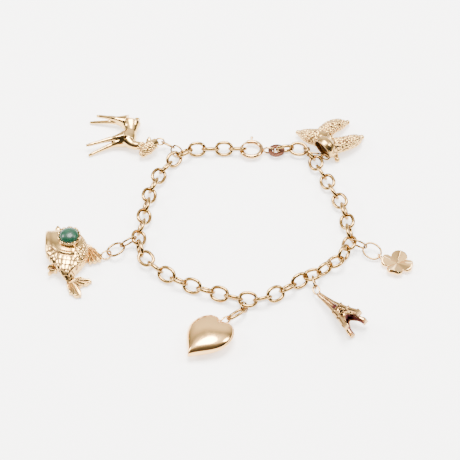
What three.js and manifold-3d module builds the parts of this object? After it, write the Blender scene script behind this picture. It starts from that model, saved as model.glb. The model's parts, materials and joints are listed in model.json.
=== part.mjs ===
// Charm bracelet: a gold cable chain closed by a spring ring clasp, with a bare hallmark tag and six charms.
// Millimetres, +Z up. The bracelet lies on a flat surface, with the origin at the middle of its footprint.
import * as THREE from "three";
import { mergeVertices } from "three/addons/utils/BufferGeometryUtils.js";
import Module from "manifold-3d";

const wasm = await Module();
wasm.setup();

const DEG = Math.PI / 180;
const UP = new THREE.Vector3(0, 0, 1);

// Clearances
const RING_GAP = 0.1;
const BOLT_GAP = 0.1;
const STONE_GAP = 0.04;

// Chain links, outside sizes
const LINK_LENGTH = 5.46;
const LINK_WIDTH = 4.5;
const LINK_WIRE = 0.84;
const LINK_DEPTH = 1.0;
const LINK_BITE = 0.07;
const LINK_SIDES = 12;
const WIRE_SIDES = 5;

// Few chosen points that the chain is laid through, with the roll of its links there
const CHAIN_ROUTE = [
  { x: -6.3, y: 28.8, roll: 45 },
  { x: -11.6, y: 28.2, roll: 58 },
  { x: -16.1, y: 24.6, roll: 42 },
  { x: -20.1, y: 18.2, roll: 30 },
  { x: -22.7, y: 10.0, roll: 25 },
  { x: -23.7, y: 2.0, roll: 25 },
  { x: -24.9, y: -4.6, roll: 25 },
  { x: -24.2, y: -9.2, roll: 5 },
  { x: -20.4, y: -14.3, roll: -30 },
  { x: -13.5, y: -19.2, roll: -45 },
  { x: -6.1, y: -22.3, roll: -45 },
  { x: 1.8, y: -25.1, roll: -30 },
  { x: 5.6, y: -25.7, roll: -30 },
  { x: 9.4, y: -25.0, roll: -36 },
  { x: 15.8, y: -21.0, roll: -45 },
  { x: 19.4, y: -18.6, roll: -65 },
  { x: 23.2, y: -16.8, roll: -88 },
  { x: 27.8, y: -13.4, roll: -75 },
  { x: 31.6, y: -8.8, roll: -65 },
  { x: 32.7, y: -3.6, roll: -65 },
  { x: 31.9, y: 1.8, roll: -65 },
  { x: 31.4, y: 6.6, roll: -65 },
  { x: 29.0, y: 11.6, roll: -65 },
  { x: 27.2, y: 16.4, roll: -65 },
  { x: 25.0, y: 21.2, roll: -65 },
  { x: 23.2, y: 26.0, roll: -68 },
  { x: 20.4, y: 28.7, roll: -70 },
];

const FIRST_ROLL = 45;
const LAST_ROLL = -70;

// Spring ring clasp, lying level
const CLASP_PLACE = { x: 6.14, y: 28.97 };
const CLASP_HEIGHT = 1.5;
const CLASP_LINK_LIFT = 0.25;
const CLASP_SLACK = 0.08;
const CLASP_RADIUS = 2.9;
const CLASP_TUBE = 1.3;
const CLASP_BORE = 0.9;
const CLASP_GAP_FROM = 112;
const CLASP_GAP_TO = 168;
const BOLT_WIRE = 0.66;
const BOLT_TAIL = 40;
const BOLT_TRAVEL = 50;
const LUG_ANGLE = 88;
const LUG_REACH = 1.25;
const LUG_WIRE = 0.5;
const LUG_HEAD = 0.9;

// Soldered eyelet of the clasp and the hallmark tag
const CLASP_EYELET = { length: 3.5, width: 2.7, wire: 0.56 };
const CLASP_HEADING = -5;
const TAG_LENGTH = 4.8;
const TAG_WIDTH = 4.4;
const TAG_THICK = 0.9;
const TAG_HOLE_LENGTH = 2.5;
const TAG_HOLE_WIDTH = 2.2;
const TAG_TILT = 6;
const TAG_SLACK = 0.38;
const TAG_BEVEL = 0.15;

// Jump rings and small links of the charms, outside sizes
const RING_SIDES = 13;
const HEART_RING = { length: 3.33, width: 3.0, wire: 0.5 };
const HEART_LINK = { length: 6.41, width: 2.9, wire: 0.8 };
const HEART_EYELET = { length: 3.61, width: 2.2, wire: 0.5 };
const FISH_LOOP = { length: 5.38, width: 2.8, wire: 0.6 };
const FISH_RING = { length: 5.36, width: 5.2, wire: 0.66 };
const FISH_EYELET = { length: 3.27, width: 2.8, wire: 0.5 };
const TOWER_RING = { length: 4.03, width: 2.7, wire: 0.56 };
const TOWER_EYELET = { length: 3.0, width: 2.2, wire: 0.5 };
const CLOVER_SMALL_RING = { length: 4.76, width: 3.0, wire: 0.56 };
const CLOVER_RING = { length: 5.56, width: 4.6, wire: 0.56 };
const CLOVER_EYELET = { length: 2.6, width: 2.1, wire: 0.46 };
const CAP_SMALL_RING = { length: 2.97, width: 2.7, wire: 0.5 };
const CAP_RING = { length: 5.31, width: 2.8, wire: 0.5 };
const CAP_EYELET = { length: 2.86, width: 2.0, wire: 0.5 };
const DEER_RING = { length: 4.2, width: 3.2, wire: 0.5 };
const DEER_LINK = { length: 4.5, width: 2.4, wire: 0.52 };
const DEER_EYELET = { length: 2.9, width: 2.3, wire: 0.5 };

// Puffed heart
const HEART_LENGTH = 13.6;
const HEART_WIDTH = 12.2;
const HEART_THICK = 4.8;
const HEART_SIDES = 28;
const HEART_CLEFT = 0.42;

// Big-mouthed fish with a cabochon eye in a toothed bezel
const FISH_LENGTH = 20.0;
const FISH_THICK = 6.0;
const FISH_FIN_THICK = 1.2;
const FISH_RIB = 0.7;
const FISH_HANG = 1.6;
const STONE_DIAMETER = 5.2;
const STONE_HEIGHT = 2.2;
const BEZEL_WALL = 0.45;
const BEZEL_HEIGHT = 2.0;
const BEZEL_TEETH = 10;

// Four-legged lattice tower
const TOWER_LENGTH = 15.4;
const TOWER_BASE = 6.1;
const TOWER_TIP = 0.95;
const TOWER_GROOVE = 0.16;
const TOWER_PLATE = 0.5;
const TOWER_FOOT = 1.5;

// Four-leaf clover
const CLOVER_RADIUS = 4.4;
const CLOVER_THICK = 1.8;
const CLOVER_EDGE = 0.5;

// Fool's cap with bell tips
const CAP_REACH = 14.0;
const CAP_MOUTH = 6.8;
const CAP_DEPTH = 3.5;
const CAP_WALL = 0.5;
const CAP_HORN = 3.9;
const CAP_BELL = 1.25;

// Long-legged fawn
const DEER_HEIGHT = 20.0;
const DEER_THICK = 5.0;
const DEER_TRUNK = 5.4;
const DEER_LEG = 0.85;
const DEER_HANG = 2.6;

const GOLD = { color: 0xe2b679, roughness: 0.22, metalness: 1 };
const ROSE = { color: 0xc98a63, roughness: 0.34, metalness: 1 };
const STONE = { color: 0x1f7f5c, roughness: 0.1, metalness: 0 };

const bracelet = new THREE.Group();

/** A closed manifold solid from a closed geometry. */
function solidOf(geometry) {
  const bare = geometry.clone();
  bare.deleteAttribute("normal");
  bare.deleteAttribute("uv");
  const merged = mergeVertices(bare, 1e-5);
  const mesh = new wasm.Mesh({
    numProp: 3,
    vertProperties: new Float32Array(merged.attributes.position.array),
    triVerts: new Uint32Array(merged.index.array),
  });
  return new wasm.Manifold(mesh);
}

/** The geometry of a manifold solid. */
function geometryOf(solid) {
  const mesh = solid.getMesh();
  const geometry = new THREE.BufferGeometry();
  geometry.setAttribute("position", new THREE.BufferAttribute(new Float32Array(mesh.vertProperties), 3));
  geometry.setIndex(new THREE.BufferAttribute(new Uint32Array(mesh.triVerts), 1));
  return geometry;
}

/** Adds one named mesh to the bracelet, placed by a matrix. */
function addPiece(name, geometry, finish, matrix = new THREE.Matrix4()) {
  const mesh = new THREE.Mesh(geometry, new THREE.MeshStandardMaterial(finish));
  mesh.name = name;
  mesh.applyMatrix4(matrix);
  bracelet.add(mesh);
  return mesh;
}

/** Turns every triangle over where a closed geometry is inside out. */
function facingOut(position, index) {
  let volume = 0;
  const corner = (i) => new THREE.Vector3().fromArray(position, 3 * i);
  for (let i = 0; i < index.length; i += 3) {
    const [a, b, c] = [corner(index[i]), corner(index[i + 1]), corner(index[i + 2])];
    volume += a.dot(b.cross(c));
  }
  if (volume < 0) index.reverse();
  return index;
}

/** A solid skinned over rings of points: capped at both ends, or closed on itself. */
function skin(rings, closed = false) {
  const count = rings[0].length;
  const position = rings.flatMap((ring) => ring.flatMap((point) => point.toArray()));
  const index = [];
  const bands = closed ? rings.length : rings.length - 1;
  for (let i = 0; i < bands; i += 1) {
    const near = i * count;
    const far = ((i + 1) % rings.length) * count;
    for (let k = 0; k < count; k += 1) {
      const next = (k + 1) % count;
      index.push(near + k, near + next, far + next, near + k, far + next, far + k);
    }
  }
  if (!closed) {
    for (const ring of [0, rings.length - 1]) {
      const middle = new THREE.Vector3();
      rings[ring].forEach((point) => middle.addScaledVector(point, 1 / count));
      const hub = position.length / 3;
      position.push(...middle.toArray());
      for (let k = 0; k < count; k += 1) {
        const [a, b] = [ring * count + k, ring * count + ((k + 1) % count)];
        index.push(...(ring === 0 ? [hub, b, a] : [hub, a, b]));
      }
    }
  }
  const geometry = new THREE.BufferGeometry();
  geometry.setAttribute("position", new THREE.Float32BufferAttribute(position, 3));
  geometry.setIndex(facingOut(position, index));
  return geometry;
}

/** A regular ring of points about a centre, across two half-axis vectors. */
function ellipse(centre, across, upward, sides, start = 0) {
  return Array.from({ length: sides }, (_, k) => {
    const angle = start + (k / sides) * 2 * Math.PI;
    return centre.clone().addScaledVector(across, Math.cos(angle)).addScaledVector(upward, Math.sin(angle));
  });
}

/** A round tapered limb through a few points, each with its radius; flat is its share of depth. */
function limb(points, radii, sides = 8, steps = 6, flat = 1) {
  const curve = new THREE.CatmullRomCurve3(points.map((p) => new THREE.Vector3(...p)));
  const rings = Array.from({ length: steps + 1 }, (_, i) => {
    const share = i / steps;
    const centre = curve.getPoint(share);
    const along = curve.getTangent(share);
    const lean = Math.abs(along.z) > 0.9 ? new THREE.Vector3(1, 0, 0) : UP;
    const across = new THREE.Vector3().crossVectors(lean, along).normalize();
    const upward = new THREE.Vector3().crossVectors(along, across);
    const place = share * (radii.length - 1);
    const cell = Math.min(Math.floor(place), radii.length - 2);
    const radius = THREE.MathUtils.lerp(radii[cell], radii[cell + 1], place - cell);
    return ellipse(centre, across.multiplyScalar(radius), upward.multiplyScalar(radius * flat), sides);
  });
  return solidOf(skin(rings));
}

/** A ball as a solid. */
function ball(centre, radius, sides = 8) {
  const sphere = new THREE.SphereGeometry(radius, sides, Math.round(sides * 0.75));
  return solidOf(sphere.translate(...centre));
}

/** A closed ring of wire in the XY plane, long axis along X, from its outside sizes. */
function wireLoop(size, depth = size.wire, sides = RING_SIDES, wireSides = 6) {
  const half = Math.PI / sides;
  const blunt = 0.88;
  const reach = (value, most) => (most * Math.sign(value) * Math.abs(value) ** blunt) / Math.cos(half) ** blunt;
  const path = Array.from({ length: sides }, (_, k) => {
    const angle = (2 * k + 1) * half;
    return new THREE.Vector3(
      reach(Math.cos(angle), (size.length - size.wire) / 2),
      reach(Math.sin(angle), (size.width - size.wire) / 2),
      0,
    );
  });
  const rings = path.map((point, k) => {
    const before = point.clone().sub(path[(k + sides - 1) % sides]).normalize();
    const after = path[(k + 1) % sides].clone().sub(point).normalize();
    const along = before.clone().add(after).normalize();
    const inward = new THREE.Vector3(-along.y, along.x, 0);
    const mitre = 1 / Math.max(0.5, along.dot(after));
    return ellipse(point, inward.multiplyScalar((mitre * size.wire) / 2), UP.clone().multiplyScalar(depth / 2), wireSides);
  });
  return skin(rings, true);
}

/** The matrix of a loop at a centre whose long axis points along a direction; roll 90 lies it flat. */
function loopMatrix(centre, direction, roll) {
  const across = new THREE.Vector3().crossVectors(UP, direction).normalize();
  const over = new THREE.Vector3().crossVectors(direction, across);
  const normal = across.multiplyScalar(Math.cos(roll * DEG)).addScaledVector(over, Math.sin(roll * DEG));
  const side = new THREE.Vector3().crossVectors(normal, direction);
  return new THREE.Matrix4().makeBasis(direction, side, normal).setPosition(centre);
}

/** A level unit vector at a heading in degrees. */
function level(heading) {
  return new THREE.Vector3(Math.cos(heading * DEG), Math.sin(heading * DEG), 0);
}

// Clasp

const claspCentre = new THREE.Vector3(CLASP_PLACE.x, CLASP_PLACE.y, CLASP_HEIGHT);

/** A round bar bent along an arc of the clasp, between two angles. */
function claspArc(diameter, from, to, sides) {
  const steps = Math.max(2, Math.ceil(Math.abs(to - from) / 20));
  const rings = Array.from({ length: steps + 1 }, (_, i) => {
    const outward = level(from + ((to - from) * i) / steps);
    const centre = outward.clone().multiplyScalar(CLASP_RADIUS);
    return ellipse(centre, outward.multiplyScalar(diameter / 2), UP.clone().multiplyScalar(diameter / 2), sides);
  });
  return solidOf(skin(rings));
}

/** The lug's slot in the tube's outer wall, as long as the bolt's travel. */
function lugSlot() {
  const width = LUG_WIRE + 2 * BOLT_GAP;
  const spare = (LUG_WIRE / 2 + BOLT_GAP) / (CLASP_RADIUS * DEG);
  const from = LUG_ANGLE - BOLT_TRAVEL - spare;
  const to = LUG_ANGLE + spare;
  const rings = Array.from({ length: 5 }, (_, i) => {
    const outward = level(from + ((to - from) * i) / 4);
    return [[0, -1], [1, -1], [1, 1], [0, 1]].map(([out, high]) => {
      const point = outward.clone().multiplyScalar(CLASP_RADIUS + out * CLASP_TUBE);
      return point.addScaledVector(UP, (high * width) / 2);
    });
  });
  return solidOf(skin(rings));
}

function claspRing() {
  const tube = claspArc(CLASP_TUBE, CLASP_GAP_TO - 360, CLASP_GAP_FROM, 10);
  const tail = BOLT_TAIL - BOLT_TRAVEL - BOLT_GAP / (CLASP_RADIUS * DEG);
  const bore = claspArc(CLASP_BORE, tail, CLASP_GAP_FROM + 5, 8);
  const eyelet = wireLoop(CLASP_EYELET);
  const reach = CLASP_RADIUS + CLASP_TUBE / 2 + (CLASP_EYELET.length - CLASP_EYELET.wire) / 2;
  const seat = level(CLASP_HEADING).multiplyScalar(reach);
  eyelet.applyMatrix4(loopMatrix(seat, level(CLASP_HEADING), 0));
  return tube.subtract(bore).subtract(lugSlot()).add(solidOf(eyelet));
}

function claspBolt() {
  const tip = CLASP_GAP_TO - BOLT_GAP / (CLASP_RADIUS * DEG);
  const bar = claspArc(BOLT_WIRE, BOLT_TAIL, tip, 6);
  const stem = new THREE.CylinderGeometry(LUG_WIRE / 2, LUG_WIRE / 2, CLASP_TUBE / 2 + LUG_REACH, 8);
  stem.rotateZ(-Math.PI / 2).translate(CLASP_RADIUS + (CLASP_TUBE / 2 + LUG_REACH) / 2, 0, 0);
  const head = new THREE.CylinderGeometry(LUG_HEAD / 2, LUG_WIRE / 2, LUG_HEAD / 2, 8);
  head.rotateZ(-Math.PI / 2).translate(CLASP_RADIUS + CLASP_TUBE / 2 + LUG_REACH, 0, 0);
  const lug = solidOf(stem.rotateZ(LUG_ANGLE * DEG)).add(solidOf(head.rotateZ(LUG_ANGLE * DEG)));
  return bar.add(lug);
}

const claspMatrix = new THREE.Matrix4().setPosition(claspCentre);
addPiece("clasp_ring", geometryOf(claspRing()), GOLD, claspMatrix);
addPiece("clasp_bolt", geometryOf(claspBolt()), GOLD, claspMatrix);

// Hallmark tag: a bare flat oval washer that the clasp's eyelet and the last link pass through

const tagBearing = level(CLASP_HEADING).multiplyScalar(Math.cos(TAG_TILT * DEG));
tagBearing.z = Math.sin(TAG_TILT * DEG);
const eyeletEnd = CLASP_RADIUS + CLASP_TUBE / 2 + CLASP_EYELET.length - CLASP_EYELET.wire;

/** How far from the end of the tag's oval hole a wire of some half-thickness comes to rest. */
function holeInset(halfWire) {
  const share = (halfWire + RING_GAP) / (TAG_HOLE_WIDTH / 2);
  return (TAG_HOLE_LENGTH / 2) * (1 - Math.sqrt(Math.max(0, 1 - share ** 2)));
}

const tagSeat = TAG_HOLE_LENGTH / 2 - holeInset(CLASP_EYELET.wire / 2);
const eyeletHold = eyeletEnd - CLASP_EYELET.wire / 2 - RING_GAP - CLASP_SLACK;
const tagCentre = claspCentre.clone().addScaledVector(level(CLASP_HEADING), eyeletHold);
tagCentre.addScaledVector(tagBearing, tagSeat);

function tagSolid() {
  const outline = new THREE.Shape().absellipse(
    0, 0, TAG_LENGTH / 2 - TAG_BEVEL, TAG_WIDTH / 2 - TAG_BEVEL, 0, 2 * Math.PI,
  );
  const plate = new THREE.ExtrudeGeometry(outline, {
    depth: TAG_THICK - 2 * TAG_BEVEL,
    bevelEnabled: true,
    bevelThickness: TAG_BEVEL,
    bevelSize: TAG_BEVEL,
    bevelSegments: 1,
    curveSegments: 10,
  });
  plate.translate(0, 0, TAG_BEVEL - TAG_THICK / 2);
  const hole = new THREE.CylinderGeometry(1, 1, 2 * TAG_THICK, 16);
  hole.rotateX(Math.PI / 2).scale(TAG_HOLE_LENGTH / 2, TAG_HOLE_WIDTH / 2, 1);
  return solidOf(plate).subtract(solidOf(hole));
}

const tagMatrix = loopMatrix(tagCentre, tagBearing, 90);
addPiece("tag", geometryOf(tagSolid()), ROSE, tagMatrix);

// Chain

const LINK_TOUCH = LINK_LENGTH - 2 * LINK_WIRE;
const linkHalfWidth = (LINK_WIDTH - LINK_WIRE) / 2;
const linkHalfLength = (LINK_LENGTH - LINK_WIRE) / 2;

/** How high a link's centre lies when it or its neighbour, turned by 90, rests on the surface. */
function restHeight(roll) {
  const lean = Math.max(Math.abs(Math.sin(roll * DEG)), Math.abs(Math.cos(roll * DEG)));
  return linkHalfWidth * lean + LINK_DEPTH / 2;
}

/** The chain's centre curve: from inside the clasp's ring, round the route, to inside the tag's hole. */
function chainCurve() {
  const inward = RING_GAP + LINK_BITE / 2;
  const start = claspCentre.clone();
  start.x -= CLASP_RADIUS - CLASP_TUBE / 2 - inward - CLASP_SLACK;
  start.z += CLASP_LINK_LIFT;
  const end = tagCentre.clone();
  end.addScaledVector(tagBearing, TAG_HOLE_LENGTH / 2 - holeInset(LINK_DEPTH / 2) - inward - TAG_SLACK);
  end.z = restHeight(LAST_ROLL);
  const middle = CHAIN_ROUTE.map(({ x, y, roll }) => new THREE.Vector3(x, y, restHeight(roll)));
  return new THREE.CatmullRomCurve3([start, ...middle, end], false, "centripetal");
}

/** Joints spaced by equal chords along a polyline, as many as fit. */
function walk(samples, pitch) {
  const joints = [{ point: samples[0], share: 0 }];
  for (let i = 1; i < samples.length; i += 1) {
    const last = joints[joints.length - 1].point;
    if (samples[i].distanceTo(last) < pitch) continue;
    const back = samples[i].distanceTo(last) - pitch;
    const step = samples[i].clone().sub(samples[i - 1]).normalize();
    joints.push({ point: samples[i].clone().addScaledVector(step, -back), share: i / (samples.length - 1) });
  }
  return joints;
}

/** Centre, direction and roll of every link: equal chords that fill the curve from end to end. */
function chainLinks() {
  const curve = chainCurve();
  const samples = curve.getPoints(6000);
  const end = samples[samples.length - 1];
  const count = walk(samples, LINK_TOUCH + LINK_BITE).length - 1;
  let [low, high] = [LINK_TOUCH + LINK_BITE, LINK_TOUCH + 2 * LINK_WIRE];
  for (let pass = 0; pass < 40; pass += 1) {
    const pitch = (low + high) / 2;
    if (walk(samples, pitch).length - 1 >= count) low = pitch;
    else high = pitch;
  }
  const joints = walk(samples, low).slice(0, count + 1);
  joints[count] = { point: end, share: 1 };
  const rolls = [FIRST_ROLL, ...CHAIN_ROUTE.map((row) => row.roll), LAST_ROLL];
  const twist = (count % 2) * 90;
  return joints.slice(1).map((joint, i) => {
    const before = joints[i];
    const share = (before.share + joint.share) / 2;
    const cell = Math.min(Math.floor(share * (rolls.length - 1)), rolls.length - 2);
    const base = THREE.MathUtils.lerp(rolls[cell], rolls[cell + 1], share * (rolls.length - 1) - cell);
    const roll = base + twist * share - (i % 2 ? 0 : 90);
    const centre = before.point.clone().add(joint.point).multiplyScalar(0.5);
    const along = joint.point.clone().sub(before.point).normalize();
    return { centre, along, matrix: loopMatrix(centre, along, 90 - roll) };
  });
}

const links = chainLinks();
const linkShape = { length: LINK_LENGTH, width: LINK_WIDTH, wire: LINK_WIRE };
const chain = links
  .map(({ matrix }) => solidOf(wireLoop(linkShape, LINK_DEPTH, LINK_SIDES, WIRE_SIDES).applyMatrix4(matrix)))
  .reduce((whole, link) => whole.add(link));
addPiece("chain", geometryOf(chain), GOLD);

// Hanging rings

/** The wire that a ring hooks over: a link's outer or upper side, turned past its middle. */
function linkHold({ link, upper = false, turn = 0 }) {
  const { centre, along, matrix } = links[link];
  const side = new THREE.Vector3().setFromMatrixColumn(matrix, 1);
  const wanted = upper ? UP : new THREE.Vector3().crossVectors(along, UP);
  if (side.dot(wanted) < 0) side.negate();
  const point = centre.clone().addScaledVector(side, linkHalfWidth * Math.cos(turn * DEG));
  point.addScaledVector(along, linkHalfLength * Math.sin(turn * DEG));
  return { point, wire: LINK_DEPTH };
}

/** Hangs a loop over a wire, along a heading and down or up to the height of its far end. */
function hangLoop(hold, { size, heading, end, roll }) {
  const behind = (hold.wire + size.wire) / 2 + RING_GAP;
  const ahead = size.length - size.wire - behind;
  const rise = THREE.MathUtils.clamp((end - hold.point.z) / ahead, -0.95, 0.95);
  const direction = level(heading).multiplyScalar(Math.sqrt(1 - rise ** 2));
  direction.z = rise;
  const centre = hold.point.clone().addScaledVector(direction, (ahead - behind) / 2);
  const far = hold.point.clone().addScaledVector(direction, ahead);
  return { matrix: loopMatrix(centre, direction, roll), far, next: { point: far, wire: size.wire } };
}

/** Hangs a charm on the chain by its rings and soldered eyelet, so that it rests on the surface. */
function addCharm(name, { from, rings, eyelet, heading = 0, pitch = 0, roll = 0 }, body) {
  const turn = new THREE.Matrix4().makeRotationZ(heading * DEG);
  turn.multiply(new THREE.Matrix4().makeRotationY(-pitch * DEG));
  turn.multiply(new THREE.Matrix4().makeRotationX(roll * DEG));
  const resting = geometryOf(body).applyMatrix4(turn);
  resting.computeBoundingBox();
  let hold = linkHold(from);
  for (const row of rings) {
    const loop = hangLoop(hold, row);
    addPiece(row.name, wireLoop(row.size), GOLD, loop.matrix);
    hold = loop.next;
  }
  const soldered = hangLoop(hold, { ...eyelet, end: -resting.boundingBox.min.z });
  const place = turn.clone().setPosition(soldered.far);
  const local = place.clone().invert().multiply(soldered.matrix);
  const whole = body.add(solidOf(wireLoop(eyelet.size).applyMatrix4(local)));
  addPiece(name, geometryOf(whole), GOLD, place);
  return place;
}

/** A flat plate from an outline of points, in shares of a size, between two heights. */
function plate(outline, unit, low, high) {
  const shape = new THREE.Shape(outline.map(([x, y]) => new THREE.Vector2(x * unit, y * unit)));
  return solidOf(new THREE.ExtrudeGeometry(shape, { depth: high - low, bevelEnabled: false }).translate(0, 0, low));
}

/** Joins solids into one. */
function join(solids) {
  return solids.reduce((whole, piece) => whole.add(piece));
}

// Puffed heart, its cleft at the origin and its tip along +X

function heartBody() {
  const curve = (angle) => [
    13 * Math.cos(angle) - 2.2 * Math.cos(2 * angle) - 1.1 * Math.cos(3 * angle) - 0.6 * Math.cos(4 * angle),
    Math.sin(angle) * Math.abs(Math.sin(angle)) ** 1.3,
  ];
  const [cleft] = curve(0);
  const [tip] = curve(Math.PI);
  const outline = Array.from({ length: HEART_SIDES }, (_, k) => {
    const [along, across] = curve((k / HEART_SIDES) * 2 * Math.PI);
    return [((cleft - along) / (cleft - tip)) * HEART_LENGTH, (across / 2) * HEART_WIDTH];
  });
  const swollen = outline.map((_, k) => {
    const angle = (k / HEART_SIDES) * 2 * Math.PI;
    return [(0.5 - 0.45 * Math.cos(angle)) * HEART_LENGTH, 0.46 * Math.sin(angle) * HEART_WIDTH];
  });
  const middle = HEART_CLEFT * HEART_LENGTH;
  const shares = [0.3, 0.58, 0.8, 0.94, 1, 0.94, 0.8, 0.58, 0.3];
  const rings = shares.map((share, i) => {
    const swell = (1 - share ** 2) ** 0.55 * Math.sign(i - 4);
    return outline.map(([x, y], k) => {
      const along = THREE.MathUtils.lerp(swollen[k][0], x, share ** 2) - middle;
      const across = THREE.MathUtils.lerp(swollen[k][1], y, share ** 2);
      return new THREE.Vector3(middle + along * share, across * share, (swell * HEART_THICK) / 2);
    });
  });
  return solidOf(skin(rings));
}

addCharm("heart", {
  from: { link: 23, turn: -16 },
  rings: [
    { name: "heart_jump_ring", size: HEART_RING, heading: -112, end: 1.74, roll: 36 },
    { name: "heart_link", size: HEART_LINK, heading: -140, end: 2.06, roll: -57 },
  ],
  eyelet: { size: HEART_EYELET, heading: -142, roll: 29 },
  heading: -129,
  roll: 6,
}, heartBody());

// Clover: four heart-shaped leaves of two facets each, with a ridge between them, first leaf along -X from its centre

function cloverBody() {
  const rows = [
    { turn: -45, reach: 0.62, rise: 0.1 },
    { turn: -34, reach: 0.88, rise: 0.24 },
    { turn: -20, reach: 1.0, rise: 0.38 },
    { turn: -8, reach: 0.97, rise: 0.48 },
    { turn: 0, reach: 0.88, rise: 0.55 },
    { turn: 8, reach: 0.97, rise: 0.48 },
    { turn: 20, reach: 1.0, rise: 0.38 },
    { turn: 34, reach: 0.88, rise: 0.24 },
  ];
  const spokes = [0, 90, 180, 270].flatMap((quarter) => rows.map((row) => ({ ...row, turn: row.turn + quarter })));
  const ring = (share, high, relief) => spokes.map(({ turn, reach, rise }) => {
    const point = level(turn).multiplyScalar(reach * share * CLOVER_RADIUS);
    point.z = high + relief * rise * (CLOVER_THICK - CLOVER_EDGE);
    return point;
  });
  const back = CLOVER_EDGE / 2;
  return solidOf(skin([
    ring(0.15, -back, 0),
    ring(0.94, -back, 0),
    ring(1, 0, 0),
    ring(0.97, back, 0.05),
    ring(0.62, back, 1),
    ring(0.15, CLOVER_THICK / 3, 0.2),
  ]));
}

addCharm("clover", {
  from: { link: 32, turn: 2 },
  rings: [
    { name: "clover_small_ring", size: CLOVER_SMALL_RING, heading: -19, end: 2.04, roll: 6 },
    { name: "clover_ring", size: CLOVER_RING, heading: -36, end: 1.29, roll: -69 },
  ],
  eyelet: { size: CLOVER_EYELET, heading: -44, roll: 13 },
  heading: -18,
  roll: -8,
}, cloverBody().translate([CLOVER_RADIUS * 0.84, 0, 0]));

// Lattice tower, its tip at the origin and its feet along +X

const TOWER_PROFILE = [
  { along: 0, half: 0.1 },
  { along: 0.2, half: 0.14 },
  { along: 0.4, half: 0.2 },
  { along: 0.54, half: 0.27 },
  { along: 0.68, half: 0.34 },
  { along: 0.84, half: 0.42 },
  { along: 0.94, half: 0.5 },
];

/** Half the tower's width at a share of its length. */
function towerHalf(along) {
  const next = Math.max(1, TOWER_PROFILE.findIndex((row) => row.along >= along));
  const [low, high] = [TOWER_PROFILE[next - 1], TOWER_PROFILE[next]];
  const share = (along - low.along) / (high.along - low.along);
  const flare = THREE.MathUtils.lerp(low.half, high.half, share) * TOWER_BASE;
  return Math.max(TOWER_TIP / 2, flare);
}

/** A square section of the tower, with a groove down the middle of each face. */
function towerSection(along, groove) {
  const half = towerHalf(along);
  const lip = half * 0.22;
  const face = [[1, 1, 0], [1, lip / half, 0], [1, 0, groove], [1, -lip / half, 0]];
  return [0, -90, -180, -270].flatMap((turn) => face.map(([out, side, cut]) => {
    const point = new THREE.Vector3(along * TOWER_LENGTH, out * half - cut, side * half);
    const [y, z] = [point.y, point.z];
    const [c, s] = [Math.cos(turn * DEG), Math.sin(turn * DEG)];
    return point.set(point.x, y * c - z * s, y * s + z * c);
  }));
}

/** An arched opening between the legs, cut right through along Z. */
function towerArch(from, to, leg) {
  const [near, far] = [from * TOWER_LENGTH, to * TOWER_LENGTH];
  const [narrow, wide] = [towerHalf(from) - leg, towerHalf(Math.min(to, 0.94)) - leg];
  const shape = new THREE.Shape([
    new THREE.Vector2(near, narrow * 0.45),
    new THREE.Vector2(near, -narrow * 0.45),
    new THREE.Vector2(near * 0.6 + far * 0.4, -narrow * 0.5 - wide * 0.4),
    new THREE.Vector2(far, -wide),
    new THREE.Vector2(far, wide),
    new THREE.Vector2(near * 0.6 + far * 0.4, narrow * 0.5 + wide * 0.4),
  ]);
  const through = 2 * TOWER_BASE;
  return new THREE.ExtrudeGeometry(shape, { depth: through, bevelEnabled: false }).translate(0, 0, -through / 2);
}

function towerPlate(along) {
  const side = 2 * towerHalf(along) + TOWER_PLATE;
  return solidOf(new THREE.BoxGeometry(TOWER_PLATE, side, side).translate(along * TOWER_LENGTH, 0, 0));
}

function towerBody() {
  const shares = [0, 0.2, 0.4, 0.52, 0.54, 0.68, 0.84, 0.94];
  const shaft = skin(shares.map((along) => towerSection(along, along < 0.53 ? TOWER_GROOVE : 0)));
  let body = solidOf(shaft);
  for (const arch of [towerArch(0.57, 0.66, 0.5), towerArch(0.76, 1.1, TOWER_FOOT * 0.75)]) {
    body = body.subtract(solidOf(arch)).subtract(solidOf(arch.clone().rotateX(Math.PI / 2)));
  }
  const reach = 0.5 * TOWER_BASE - TOWER_FOOT / 2 + 0.1;
  const feet = [[1, 1], [1, -1], [-1, 1], [-1, -1]].map(([y, z]) => {
    const foot = new THREE.BoxGeometry(0.08 * TOWER_LENGTH, TOWER_FOOT, TOWER_FOOT);
    return solidOf(foot.translate(0.95 * TOWER_LENGTH, y * reach, z * reach));
  });
  return join([body, towerPlate(0.54), towerPlate(0.71), ...feet]);
}

addCharm("tower", {
  from: { link: 28, turn: -14 },
  rings: [
    { name: "tower_ring", size: TOWER_RING, heading: -81, end: 2.08, roll: 19 },
  ],
  eyelet: { size: TOWER_EYELET, heading: -70, roll: -58 },
  heading: -52,
  pitch: 9,
  roll: 22,
}, towerBody());

// Fool's cap: a thin bowl with four curved horns that end in bells, its mouth's centre at the origin

const CAP_AXIS = new THREE.Vector3(0.75, 0.62, 0.23).normalize();
const CAP_HORNS = [
  { name: "top", thick: 1.0, points: [[-0.01, 0.3, 0.04], [0.19, 0.63, -0.01], [0.4, 0.81, -0.09], [0.54, 0.9, -0.15]] },
  { name: "right", thick: 1.0, points: [[0.24, 0.09, 0.01], [0.5, 0.22, -0.04], [0.71, 0.38, -0.11], [0.81, 0.49, -0.16]] },
  { name: "left", thick: 0.95, points: [[-0.08, 0.26, 0.06], [-0.3, 0.41, -0.01], [-0.48, 0.62, -0.11]] },
  { name: "low", thick: 0.7, points: [[0.22, 0.05, -0.08], [0.29, -0.07, -0.17]] },
];

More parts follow.
